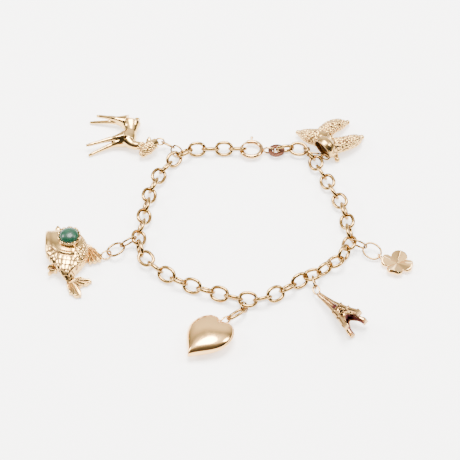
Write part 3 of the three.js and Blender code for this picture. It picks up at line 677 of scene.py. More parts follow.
def placed(
    item: bpy.types.Object, slot: Slot, finish: bpy.types.Material, body: Body, *nodes: str,
) -> None:
    """Brings a piece from millimetres of the table to metres of the frame, and dresses it.

    The piece stays inside the CAD's own box, and rides on its body.

    Args:
        item: the piece.
        slot: the record's material slot; not used.
        finish: its material.
        body: the body that it rides on.
        nodes: the CAD nodes that it replaces.
    """
    item.data.transform(Matrix.Scale(MM, 4) @ Matrix.Translation(Vector(TABLE_SHIFT)))
    move_to(item.data, np.clip(coordinates(item.data), *np.array([list(corner) for corner in CAD_BOX])))
    item.data.materials.clear()
    item.data.materials.append(finish)
    item.data.polygons.foreach_set("use_smooth", [True] * len(item.data.polygons))
    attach(item, body.value)
    if nodes:
        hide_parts(*nodes)
    LOG.info("%s: %d faces", item.name, len(item.data.polygons))


# Loops of wire, made by Geometry Nodes


class LoopTree:
    """The Geometry Nodes tree that sets a closed loop of wire on every point."""

    INPUTS = ("Length", "Width", "Wire", "Depth")

    def __init__(self, blunt: float = 0.88, sides: int = 56, section: int = 18) -> None:
        """Builds the tree.

        Args:
            blunt: below 1 the loop is squarer than an ellipse.
            sides: faces along the wire.
            section: faces round the wire.
        """
        self.tree = bpy.data.node_groups.new("wire_loops", "GeometryNodeTree")
        face = self.tree.interface
        face.new_socket("Geometry", in_out="INPUT", socket_type="NodeSocketGeometry")
        self.sockets = {
            name: face.new_socket(name, in_out="INPUT", socket_type="NodeSocketFloat").identifier
            for name in self.INPUTS
        }
        finish = face.new_socket("Finish", in_out="INPUT", socket_type="NodeSocketMaterial")
        self.sockets["Finish"] = finish.identifier
        face.new_socket("Geometry", in_out="OUTPUT", socket_type="NodeSocketGeometry")
        given = self.tree.nodes.new("NodeGroupInput").outputs
        half_length = self.half(given["Length"], given["Wire"])
        half_width = self.half(given["Width"], given["Wire"])
        circle = self.circle(sides, 1.0)
        where = self.add("GeometryNodeInputPosition", {}, {}).outputs[0]
        parts = self.add("ShaderNodeSeparateXYZ", {}, {0: where}).outputs
        bent = self.add("ShaderNodeCombineXYZ", {}, {
            "X": self.reach(parts["X"], half_length, blunt),
            "Y": self.reach(parts["Y"], half_width, blunt),
        }).outputs[0]
        path = self.add("GeometryNodeSetPosition", {}, {"Geometry": circle, "Position": bent})
        upright = self.add("GeometryNodeSetCurveNormal", {"mode": "Z_UP"}, {"Curve": path.outputs[0]})
        size = self.add("ShaderNodeCombineXYZ", {}, {"X": given["Wire"], "Y": given["Depth"], "Z": 1.0})
        bar = self.add("GeometryNodeTransform", {}, {
            "Geometry": self.circle(section, 0.5), "Scale": size.outputs[0],
        })
        wire = self.add("GeometryNodeCurveToMesh", {}, {
            "Curve": upright.outputs[0], "Profile Curve": bar.outputs[0],
        })
        turn = self.add("GeometryNodeInputNamedAttribute", {"data_type": "QUATERNION"}, {"Name": "turn"})
        spread = self.add("GeometryNodeInstanceOnPoints", {}, {
            "Points": given["Geometry"], "Instance": wire.outputs[0], "Rotation": turn.outputs["Attribute"],
        })
        real = self.add("GeometryNodeRealizeInstances", {}, {"Geometry": spread.outputs[0]})
        smooth = self.add("GeometryNodeSetShadeSmooth", {}, {"Geometry": real.outputs[0]})
        dressed = self.add("GeometryNodeSetMaterial", {}, {
            "Geometry": smooth.outputs[0], "Material": given["Finish"],
        })
        self.add("NodeGroupOutput", {}, {"Geometry": dressed.outputs[0]})

    def add(self, kind: str, settings: dict[str, object], values: dict[object, object]) -> bpy.types.Node:
        """Adds a node to the tree."""
        return add_node(self.tree, kind, settings, values)

    def circle(self, sides: int, radius: float) -> bpy.types.NodeSocket:
        """Adds a circle and gives its curve."""
        values = {"Resolution": sides, "Radius": radius}
        return self.add("GeometryNodeCurvePrimitiveCircle", {}, values).outputs["Curve"]

    def math(self, operation: str, first: object, second: object) -> bpy.types.NodeSocket:
        """Adds a Math node and gives its result."""
        return self.add("ShaderNodeMath", {"operation": operation}, {0: first, 1: second}).outputs[0]

    def half(self, outside: bpy.types.NodeSocket, wire: bpy.types.NodeSocket) -> bpy.types.NodeSocket:
        """Half of an outside size, less half the wire."""
        return self.math("MULTIPLY", self.math("SUBTRACT", outside, wire), 0.5)

    def reach(
        self, part: bpy.types.NodeSocket, most: bpy.types.NodeSocket, blunt: float,
    ) -> bpy.types.NodeSocket:
        """A coordinate of the loop's path: the circle's, blunted and stretched."""
        size = self.math("POWER", self.math("ABSOLUTE", part, 0.0), blunt)
        signed = self.math("MULTIPLY", self.math("SIGN", part, 0.0), size)
        return self.math("MULTIPLY", signed, most)

    def loops(self, name: str, seats: list[tuple[np.ndarray, np.ndarray]], size: "LoopSize",
              finish: bpy.types.Material) -> bpy.types.Object:
        """Makes an object of loops, one on each seat.

        Args:
            name: the object's name.
            seats: each loop's centre and axes.
            size: the loops' outside sizes.
            finish: their material.

        Returns:
            The object, a plain mesh in millimetres.
        """
        mesh = bpy.data.meshes.new(name)
        mesh.from_pydata([tuple(centre) for centre, _ in seats], [], [])
        turn = mesh.attributes.new("turn", "QUATERNION", "POINT")
        for datum, (_, axes) in zip(turn.data, seats):
            datum.value = Matrix(axes.tolist()).to_quaternion()
        made = bpy.data.objects.new(name, mesh)
        bpy.context.scene.collection.objects.link(made)
        wires = made.modifiers.new("loops", "NODES")
        wires.node_group = self.tree
        sizes = (size.length, size.width, size.wire, size.depth or size.wire)
        for key, value in zip(self.INPUTS, sizes):
            wires[self.sockets[key]] = float(value)
        wires[self.sockets["Finish"]] = finish
        evaluated(made)
        weld(made.data)
        return made


@dataclass(frozen=True)
class LoopSize:
    """Outside sizes of a loop of wire; depth is the wire's thickness across the loop's plane."""

    length: float
    width: float
    wire: float
    depth: float = 0.0


@dataclass
class Chain:
    """The cable chain: equal links along a route, each turned a quarter from the last."""

    link: LoopSize = LoopSize(5.46, 4.5, 0.84, 1.0)
    stout: float = 0.13
    bite: float = 0.07
    first_roll: float = 45.0
    last_roll: float = -70.0
    clasp_radius: float = 2.9
    clasp_tube: float = 1.3
    clasp_lift: float = 0.25
    clasp_slack: float = 0.08
    clasp_eyelet: LoopSize = LoopSize(3.5, 2.7, 0.56)
    clasp_heading: float = -5.0
    tag_hole: tuple[float, float] = (2.5, 2.2)
    tag_tilt: float = 6.0
    tag_slack: float = 0.38
    route: tuple[tuple[float, float, float], ...] = (
        (-6.3, 28.8, 45), (-11.6, 28.2, 58), (-16.1, 24.6, 42), (-20.1, 18.2, 30), (-22.7, 10.0, 25),
        (-23.7, 2.0, 25), (-24.9, -4.6, 25), (-24.2, -9.2, 5), (-20.4, -14.3, -30), (-13.5, -19.2, -45),
        (-6.1, -22.3, -45), (1.8, -25.1, -30), (5.6, -25.7, -30), (9.4, -25.0, -36), (15.8, -21.0, -45),
        (19.4, -18.6, -65), (23.2, -16.8, -88), (27.8, -13.4, -75), (31.6, -8.8, -65), (32.7, -3.6, -65),
        (31.9, 1.8, -65), (31.4, 6.6, -65), (29.0, 11.6, -65), (27.2, 16.4, -65), (25.0, 21.2, -65),
        (23.2, 26.0, -68), (20.4, 28.7, -70),
    )

    def rest_height(self, roll: float) -> float:
        """How high a link's centre lies when it or its neighbour rests on the surface."""
        lean = max(abs(math.sin(math.radians(roll))), abs(math.cos(math.radians(roll))))
        return (self.link.width - self.link.wire) / 2 * lean + self.link.depth / 2

    def hole_inset(self, half_wire: float) -> float:
        """How far from the end of the tag's hole a wire comes to rest."""
        share = (half_wire + RING_GAP) / (self.tag_hole[1] / 2)
        return self.tag_hole[0] / 2 * (1 - math.sqrt(max(0.0, 1 - share**2)))

    def tag_place(self) -> tuple[np.ndarray, np.ndarray]:
        """The tag's centre and the direction of its length, beyond the clasp's eyelet."""
        eyelet = self.clasp_eyelet
        bearing = heading_vector(self.clasp_heading) * math.cos(math.radians(self.tag_tilt))
        bearing[2] = math.sin(math.radians(self.tag_tilt))
        hold = self.clasp_radius + self.clasp_tube / 2 + eyelet.length - eyelet.wire * 1.5
        hold -= RING_GAP + self.clasp_slack
        seat = self.tag_hole[0] / 2 - self.hole_inset(eyelet.wire / 2)
        return np.array(CLASP_PLACE) + heading_vector(self.clasp_heading) * hold + bearing * seat, bearing

    def ends(self) -> tuple[np.ndarray, np.ndarray]:
        """The curve's ends: inside the clasp's ring and inside the tag's hole."""
        inward = RING_GAP + self.bite / 2
        clasp = np.array(CLASP_PLACE)
        start = clasp + np.array([
            -(self.clasp_radius - self.clasp_tube / 2 - inward - self.clasp_slack), 0.0, self.clasp_lift,
        ])
        end, bearing = self.tag_place()
        reach = self.tag_hole[0] / 2 - self.hole_inset(self.link.depth / 2) - inward - self.tag_slack
        end = end + bearing * reach
        end[2] = self.rest_height(self.last_roll)
        return start, end

    def walk(self, samples: np.ndarray, pitch: float) -> list[tuple[np.ndarray, float]]:
        """Joints spaced by equal chords along the samples.

        Args:
            samples: points along the curve.
            pitch: the chord.

        Returns:
            Each joint's point and share of the curve.
        """
        joints = [(samples[0], 0.0)]
        last = samples[0]
        index = 0
        while True:
            far = np.linalg.norm(samples[index + 1:] - last, axis=1) >= pitch
            if not far.any():
                return joints
            index += 1 + int(np.argmax(far))
            back = float(np.linalg.norm(samples[index] - last)) - pitch
            last = samples[index] - unit(samples[index] - samples[index - 1]) * back
            joints.append((last, index / (len(samples) - 1)))

    def seats(self) -> list[tuple[np.ndarray, np.ndarray]]:
        """Every link's centre and axes, filling the route from end to end."""
        start, end = self.ends()
        middle = [np.array([x, y, self.rest_height(roll)]) for x, y, roll in self.route]
        curve = Route(np.array([start, *middle, end]))
        steps = 6000
        samples = np.array([curve.at(i / steps) for i in range(steps + 1)])
        touch = self.link.length - 2 * self.link.wire
        low, high = touch + self.bite, touch + 2 * self.link.wire
        count = len(self.walk(samples, low)) - 1
        for _ in range(30):
            pitch = (low + high) / 2
            low, high = (pitch, high) if len(self.walk(samples, pitch)) - 1 >= count else (low, pitch)
        joints = self.walk(samples, low)[: count + 1]
        joints[count] = (end, 1.0)
        rolls = [self.first_roll, *(row[2] for row in self.route), self.last_roll]
        twist = count % 2 * 90
        seats = []
        for i, ((a, sa), (b, sb)) in enumerate(zip(joints, joints[1:])):
            share = (sa + sb) / 2
            base = float(np.interp(share * (len(rolls) - 1), range(len(rolls)), rolls))
            roll = base + twist * share - (0 if i % 2 else 90)
            seats.append(((a + b) / 2, loop_axes(unit(b - a), 90 - roll)))
        return seats

    def build(self, tree: LoopTree) -> None:
        """Makes the links and sets them in the chain's place.

        Args:
            tree: the tree of wire loops.
        """
        finish = CHAIN_GOLD.material()
        seats = self.seats()
        stout = LoopSize(self.link.length, self.link.width, self.link.wire + self.stout, self.link.depth)
        links = tree.loops("chain_links", seats, stout, finish)
        self.paint_joint_shade(links.data, np.array([centre for centre, _ in seats]))
        placed(links, Slot.GOLD, finish, Body.ROOT, "chain")

    def paint_joint_shade(self, mesh: bpy.types.Mesh, centres: np.ndarray) -> None:
        """Paints shade into the links where neighbouring links bear on each other.

        Args:
            mesh: the links' mesh, in millimetres.
            centres: the links' centres.
        """
        joints = (centres[1:] + centres[:-1]) / 2
        tree = KDTree(len(joints))
        for i, joint in enumerate(joints):
            tree.insert(joint, i)
        tree.balance()
        away = np.array([tree.find(p)[2] for p in coordinates(mesh)])
        # Painted shade: strongest at each joint, gone about a millimetre away.
        store(mesh, "recess", (1 - away / 1.05) * 1.2)


@dataclass
class JumpRings:
    """The loose rings and links that the charms hang by, each where its CAD node is."""

    sizes: dict[str, LoopSize] = field(default_factory=lambda: {
        "heart_jump_ring": LoopSize(3.33, 3.0, 0.5),
        "heart_link": LoopSize(6.41, 2.9, 0.8),
        "fish_loop": LoopSize(5.38, 2.8, 0.6),
        "fish_jump_ring": LoopSize(5.36, 5.2, 0.66),
        "tower_ring": LoopSize(4.03, 2.7, 0.56),
        "clover_small_ring": LoopSize(4.76, 3.0, 0.56),
        "clover_ring": LoopSize(5.56, 4.6, 0.56),
        "cap_small_ring": LoopSize(2.97, 2.7, 0.5),
        "cap_ring": LoopSize(5.31, 2.8, 0.5),
        "deer_jump_ring": LoopSize(4.2, 3.2, 0.5),
        "deer_link": LoopSize(4.5, 2.4, 0.52),
    })

    def seat(self, node: str) -> tuple[np.ndarray, np.ndarray]:
        """A ring's centre and axes, read from its CAD node.

        Args:
            node: the CAD node.

        Returns:
            The centre and the axes as columns.
        """
        points = np.unique(coordinates(frame["nodes"][node].data).round(7), axis=0) / MM - TABLE_SHIFT
        spread = points - points.mean(0)
        _, _, rows = np.linalg.svd(spread, full_matrices=False)
        along, normal = rows[0], rows[2]
        reach = spread @ rows.T
        centre = points.mean(0) + rows.T @ ((reach.min(0) + reach.max(0)) / 2)
        return centre, np.column_stack([along, np.cross(normal, along), normal])

    def far_wire(self, node: str, towards: np.ndarray) -> np.ndarray:
        """The centre of a ring's wire at the end nearest to a point."""
        centre, axes = self.seat(node)
        size = self.sizes[node]
        reach = axes[:, 0] * (size.length - size.wire) / 2
        return min(centre + reach, centre - reach, key=lambda p: float(np.linalg.norm(p - towards)))

    def build(self, tree: LoopTree) -> None:
        """Makes every ring.

        Args:
            tree: the tree of wire loops.
        """
        finish = RING_GOLD.material()
        for node, size in self.sizes.items():
            ring = tree.loops(f"{node}_wire", [self.seat(node)], size, finish)
            placed(ring, Slot.GOLD, finish, Body.ROOT, node)


def smooth_step(low: float, high: float, values: np.ndarray) -> np.ndarray:
    """0 below the low value and 1 above the high one, with a soft change."""
    share = np.clip((values - low) / (high - low), 0, 1)
    return share * share * (3 - 2 * share)


def raise_relief(mesh: bpy.types.Mesh, heights: np.ndarray) -> None:
    """Moves each of a mesh's points out along its normal."""
    move_to(mesh, coordinates(mesh) + normals(mesh) * heights[:, None])


def segment_distance(points: np.ndarray, start: np.ndarray, end: np.ndarray) -> tuple[np.ndarray, np.ndarray]:
    """Distance of points from a segment, and the nearest place's share of its length."""
    along = end - start
    share = np.clip((points - start) @ along / float(along @ along), 0, 1)
    return np.linalg.norm(points - start - share[:, None] * along, axis=1), share


def path_distance(points: np.ndarray, path: np.ndarray) -> np.ndarray:
    """Distance of points from a path of segments."""
    return np.min([segment_distance(points, a, b)[0] for a, b in zip(path, path[1:])], axis=0)


def rounded(outline: tuple, unit_size: float, cut: float = 0.22, passes: int = 3) -> np.ndarray:
    """An outline in shares of a size, with its corners cut round.

    Args:
        outline: the corners.
        unit_size: the size.
        cut: the share of each side that is cut off at a corner.
        passes: how often the corners are cut.

    Returns:
        The outline's points.
    """
    points = np.array(outline, float) * unit_size
    for _ in range(passes):
        ahead = np.roll(points, -1, axis=0)
        cuts = (points * (1 - cut) + ahead * cut, points * cut + ahead * (1 - cut))
        points = np.column_stack(cuts).reshape(-1, 2)
    return points


def beads(mesh: bpy.types.Mesh, where: np.ndarray, size: float, height: float, seed: int) -> None:
    """Raises a dense granulation of round beads on part of a mesh.

    Args:
        mesh: the mesh, in millimetres.
        where: how strongly each point takes part, 0 to 1.
        size: the beads' spacing.
        height: the beads' height.
        seed: the seed of their places.
    """
    points = coordinates(mesh)
    order = np.random.default_rng(seed).permutation(np.nonzero(where > 0.3)[0])
    taken = np.zeros(len(points), bool)
    tree = KDTree(len(points))
    for i, point in enumerate(points):
        tree.insert(point, i)
    tree.balance()
    away = np.full(len(points), size)
    for i in order:
        if taken[i]:
            continue
        for _, j, distance in tree.find_range(points[i], size * 0.8):
            taken[j] = True
            away[j] = min(away[j], distance)
    dome = np.sqrt(np.clip(1 - (away / (size * 0.56)) ** 2, 0, 1))
    raise_relief(mesh, (dome - 0.35) * height * where)
    mark_recesses(mesh, size * 0.6, 9.0)


def turn_matrix(heading: float, pitch: float = 0.0, roll: float = 0.0) -> np.ndarray:
    """A charm's turn: about the upright axis, then up at its front, then about its length."""
    turned = Matrix.Rotation(math.radians(heading), 3, "Z")
    turned @= Matrix.Rotation(math.radians(-pitch), 3, "Y")
    turned @= Matrix.Rotation(math.radians(roll), 3, "X")
    return np.array(turned)


@dataclass
class Charm:
    """What every cast charm shares: an eyelet soldered to it, and its place at the end of its rings."""

    node: str
    last_ring: str
    eyelet: LoopSize
    eyelet_heading: float
    eyelet_roll: float
    heading: float = 0.0
    pitch: float = 0.0
    roll: float = 0.0
    finish: GoldFinish = CAST_GOLD

    def shape(self) -> bpy.types.Object:
        """The charm's body, in its own millimetres."""
        raise NotImplementedError

    def hang(self, item: bpy.types.Object, rings: JumpRings, tree: LoopTree) -> np.ndarray:
        """Turns the body, solders its eyelet on and brings it to the end of its rings.

        Args:
            item: the body, in its own millimetres.
            rings: the jump rings.
            tree: the tree of wire loops.

        Returns:
            The place of the body's origin, in millimetres of the table.
        """
        turned = turn_matrix(self.heading, self.pitch, self.roll)
        points = coordinates(item.data) @ turned.T
        node = coordinates(frame["nodes"][self.node].data).mean(0) / MM - TABLE_SHIFT
        hold = rings.far_wire(self.last_ring, node)
        held = rings.sizes[self.last_ring].wire
        behind = (held + self.eyelet.wire) / 2 + RING_GAP
        ahead = self.eyelet.length - self.eyelet.wire - behind
        low = -float(points[:, 2].min())
        rise = min(0.95, max(-0.95, (low - hold[2]) / ahead))
        direction = heading_vector(self.eyelet_heading) * math.sqrt(1 - rise**2)
        direction[2] = rise
        place = hold + direction * ahead
        move_to(item.data, points + place)
        seat = (hold + direction * (ahead - behind) / 2, loop_axes(direction, self.eyelet_roll))
        eyelet = tree.loops(f"{self.node}_eyelet", [seat], self.eyelet, self.finish.material())
        store(eyelet.data, "recess", np.zeros(len(eyelet.data.vertices)))
        join_objects(item, eyelet)
        return place

    def build(self, rings: JumpRings, tree: LoopTree) -> np.ndarray:
        """Makes the charm in the place of its CAD node.

        Args:
            rings: the jump rings.
            tree: the tree of wire loops.

        Returns:
            The place of the body's origin, in millimetres of the table.
        """
        item = self.shape()
        place = self.hang(item, rings, tree)
        placed(item, Slot.GOLD, self.finish.material(), Body.ROOT, self.node)
        return place


def join_objects(item: bpy.types.Object, other: bpy.types.Object) -> None:
    """Joins an object into another, and removes it."""
    bpy.ops.object.select_all(action="DESELECT")
    other.select_set(True)
    item.select_set(True)
    bpy.context.view_layer.objects.active = item
    bpy.ops.object.join()


@dataclass
class Heart(Charm):
    """The puffed heart: two swollen halves that meet at a fine seam."""

    length: float = 13.6
    width: float = 12.2
    thick: float = 4.8
    middle: float = 0.42
    around: int = 192
    across: int = 64

    def outline(self) -> np.ndarray:
        """The heart's outline, its cleft at the origin."""
        angle = np.arange(self.around) / self.around * 2 * math.pi

        def along(turn: np.ndarray) -> np.ndarray:
            """How far along the heart the curve is."""
            waves = ((13, 1), (-2.2, 2), (-1.1, 3), (-0.6, 4))
            return sum(size * np.cos(times * turn) for size, times in waves)

        cleft, tip = along(np.array([0.0, math.pi]))
        across = np.sin(angle) * np.abs(np.sin(angle)) ** 1.3 / 2
        return np.column_stack([(cleft - along(angle)) / (cleft - tip) * self.length, across * self.width])

    def shape(self) -> bpy.types.Object:
        """The heart's skin with its seam."""
        outline = self.outline()
        centre = np.array([self.middle * self.length, 0.0])
        angle = np.arange(self.around) / self.around * 2 * math.pi
        swollen = np.column_stack([
            (0.5 - 0.45 * np.cos(angle)) * self.length, 0.46 * np.sin(angle) * self.width,
        ])
        rings = []
        for turn in np.linspace(-88, 88, self.across):
            share = math.cos(math.radians(turn)) ** 0.92
            high = math.copysign(abs(math.sin(math.radians(turn))) ** 1.04, turn) * self.thick / 2
            share *= 1 - 0.012 * math.exp(-((abs(high) - 0.34) / 0.16) ** 2)
            edge = swollen + (outline - swollen) * share**2
            flat = centre + (edge - centre) * share
            rings.append(np.column_stack([flat, np.full(len(flat), high)]))
        item = Form().skin(rings).object("heart_puffed")
        points = coordinates(item.data)
        groove = np.exp(-((np.abs(points[:, 2]) - 0.34) / 0.14) ** 2)
        store(item.data, "recess", groove * 0.25)
        return item


@dataclass
class Clover(Charm):
    """The four-leaf clover: heart-shaped leaves, each of two facets with a cut between them."""

    radius: float = 4.4
    thick: float = 1.8
    edge: float = 0.5
    lift: float = 0.9
    stem: float = 0.84
    steps: int = 24

    def spokes(self) -> tuple[np.ndarray, np.ndarray, np.ndarray]:
        """Turns, reaches and rises of the leaves' spokes."""
        turns = np.array([-45, -34, -20, -8, 0, 8, 20, 34, 45], float)
        reaches = np.array([0.66, 0.9, 1.0, 0.99, 0.94, 0.99, 1.0, 0.9, 0.66])
        lean = np.radians(np.abs(turns))
        rises = np.cos(lean) - np.sin(lean)
        fine = np.linspace(-45, 45, self.steps * 2, endpoint=False)
        reach = np.interp(fine, turns, reaches)
        for _ in range(2):
            reach = (np.roll(reach, 1) + reach * 2 + np.roll(reach, -1)) / 4
        rise = np.interp(fine, turns, rises)
        quarters = [fine + 90 * k for k in range(4)]
        return np.concatenate(quarters), np.tile(reach, 4), np.tile(rise, 4)

    def shape(self) -> bpy.types.Object:
        """The clover's skin."""
        turns, reaches, rises = self.spokes()
        angles = np.radians(turns)
        flat = np.column_stack([np.cos(angles) * reaches, np.sin(angles) * reaches]) * self.radius
        back = self.edge / 2
        relief = self.thick - self.edge
        rows = [(0.1, -back, 0.0), (0.5, -back, 0.0), (0.9, -back, 0.0), (0.985, -back * 0.6, 0.0)]
        rows += [(1.0, 0.0, 0.0), (0.985, back * 0.8, 0.03)]
        for share in np.linspace(0.95, 0.1, 18):
            rows.append((share, back, share * self.lift))
        middle = np.array([self.stem * self.radius, 0, 0])
        rings = [
            np.column_stack([flat * share, high + gain * rises * relief]) + middle
            for share, high, gain in rows
        ]
        item = Form().skin(rings).object("clover_leaves")
        points = coordinates(item.data)
        away = np.degrees(np.arctan2(points[:, 1], points[:, 0] - middle[0]))
        cut = np.abs((away + 45) % 90 - 45)
        store(item.data, "recess", np.exp(-(cut / 2.2) ** 2) * 0.4 * (points[:, 2] > back * 0.5))
        return item


@dataclass
class Tower(Charm):
    """The lattice tower: a grooved shaft, two railed platforms and four arched legs with cross braces."""

    length: float = 15.4
    base: float = 6.1
    tip: float = 0.95
    plate: float = 0.5
    foot: float = 1.5
    waist: float = 0.54
    ledge: float = 0.71
    sole: float = 0.94
    profile: tuple[tuple[float, float], ...] = (
        (0.0, 0.1), (0.2, 0.14), (0.4, 0.2), (0.54, 0.27), (0.68, 0.34), (0.84, 0.42), (0.94, 0.5),
    )

    def half(self, along: float) -> float:
        """Half the tower's width at a share of its length."""
        shares, halves = zip(*self.profile)
        return max(self.tip / 2, float(np.interp(along, shares, halves)) * self.base)

    def point(self, along: float, y: float, z: float) -> list[float]:
        """A point at shares of the tower's length and half width."""
        half = self.half(along)
        return [along * self.length, y * half, z * half]

    def shape(self) -> bpy.types.Object:
        """The tower, all its bars in one mesh."""
        form = Form()
        self.shaft(form)
        for along in (self.waist, self.ledge):
            self.platform(form, along)
        self.legs(form)
        form.ball([0.25, 0, 0], self.tip * 0.5)
        item = form.object("tower_lattice")
        fuse(item, 0.07, 1)
        mark_recesses(item.data, 0.42, 7.5)
        points = coordinates(item.data)
        inside = np.maximum(np.abs(points[:, 1]), np.abs(points[:, 2]))
        halves = np.array([self.half(float(x) / self.length) for x in points[:, 0]])
        along = points[:, 0] / self.length
        # Painted shade: the lattice's inside from the waist down, and faces that look towards the tip below
        # the waist, are darkened through the recess mark.
        deep = smooth_step(0.12, 0.5, (halves - inside) / halves) * smooth_step(0.3, 0.5, along)
        tipward_shade = smooth_step(0.5, 0.8, -normals(item.data)[:, 0]) * smooth_step(0.46, 0.52, along)
        store(item.data, "recess", stored(item.data, "recess") * 0.7 + deep * 0.9 + tipward_shade)
        return item

    def shaft(self, form: Form) -> None:
        """Four corner bars with a recessed web between them, up to the tip.

        Args:
            form: what they are added to.
        """
        for y, z in CORNERS:
            corners = [self.point(a, y * 0.72, z * 0.72) for a in (0.0, 0.2, 0.4, self.waist)]
            form.limb(corners, [0.2, 0.27, 0.38, 0.52], sides=12, steps=20)
        core = [self.point(a, 0, 0) for a in (0.0, 0.2, 0.4, self.waist)]
        form.limb(core, [0.34, 0.46, 0.66, 0.95], sides=24, steps=20)

    def platform(self, form: Form, along: float) -> None:
        """A square platform with a row of small knobs as its railing.

        Args:
            form: what it is added to.
            along: its place along the tower, as a share.
        """
        side = self.half(along) + self.plate / 2
        middle = along * self.length
        square = np.array([[-1, -1], [1, -1], [1, 1], [-1, 1]], float) * side
        rings = [
            np.column_stack([np.full(4, middle + x), square * share])
            for x, share in ((-self.plate / 2, 0.93), (-0.08, 1.0), (0.08, 1.0), (self.plate / 2, 0.9))
        ]
        form.skin(rings)
        count = 5
        for k in range(count):
            rail = side * 0.86
            place = (k / (count - 1) * 2 - 1) * side * 0.86
            for y, z in ((place, rail), (place, -rail), (rail, place), (-rail, place)):
                form.ball([middle - self.plate * 0.42, y, z], 0.16, sides=8)

    def legs(self, form: Form) -> None:
        """Four splayed legs, an arch on each side between them, cross braces and block feet.

        Args:
            form: what they are added to.
        """
        reach = 0.5 * self.base - self.foot / 2 + 0.1
        for y, z in CORNERS:
            near = self.point(self.waist, y * 0.62, z * 0.62)
            knee = self.point(self.ledge, y * 0.68, z * 0.68)
            sole = [self.sole * self.length, y * reach, z * reach]
            form.limb([near, knee, sole], [0.7, 0.82, 0.8], sides=16, steps=14)
            centre = np.array([y, z]) * reach
            block = np.array([[-1, -1], [1, -1], [1, 1], [-1, 1]], float) * self.foot / 2 + centre
            form.skin([
                np.column_stack([np.full(4, self.length * x), centre + (block - centre) * share])
                for x, share in ((0.905, 0.86), (0.92, 1.0), (0.975, 1.0), (0.99, 0.92))
            ])
        for (y0, z0), (y1, z1) in zip(CORNERS, CORNERS[1:] + CORNERS[:1]):
            for start, rise, thick in ((self.ledge, 0.2, 0.42), (self.waist, 0.12, 0.34)):
                points = []
                for k in range(9):
                    share = k / 8
                    along = start + rise * (2 * share - 1) ** 2 + 0.035
                    half = 0.8 * self.half(min(along, self.sole))
                    mid = [(y0 + (y1 - y0) * share) * half, (z0 + (z1 - z0) * share) * half]
                    points.append([along * self.length, *mid])
                form.limb(points, [thick, thick], sides=8, steps=16)
            low, high = self.waist + 0.02, self.ledge - 0.02
            for first, second in (((y0, z0), (y1, z1)), ((y1, z1), (y0, z0))):
                ends = [
                    self.point(along, corner[0] * 0.8, corner[1] * 0.8)
                    for along, corner in ((low, first), (high, second))
                ]
                form.limb(ends, [0.15, 0.15], sides=8, steps=2)


@dataclass(frozen=True)
class Horn:
    """One of the cap's horns: its thickness and its points, as shares."""

    thick: float
    points: tuple[tuple[float, float, float], ...]


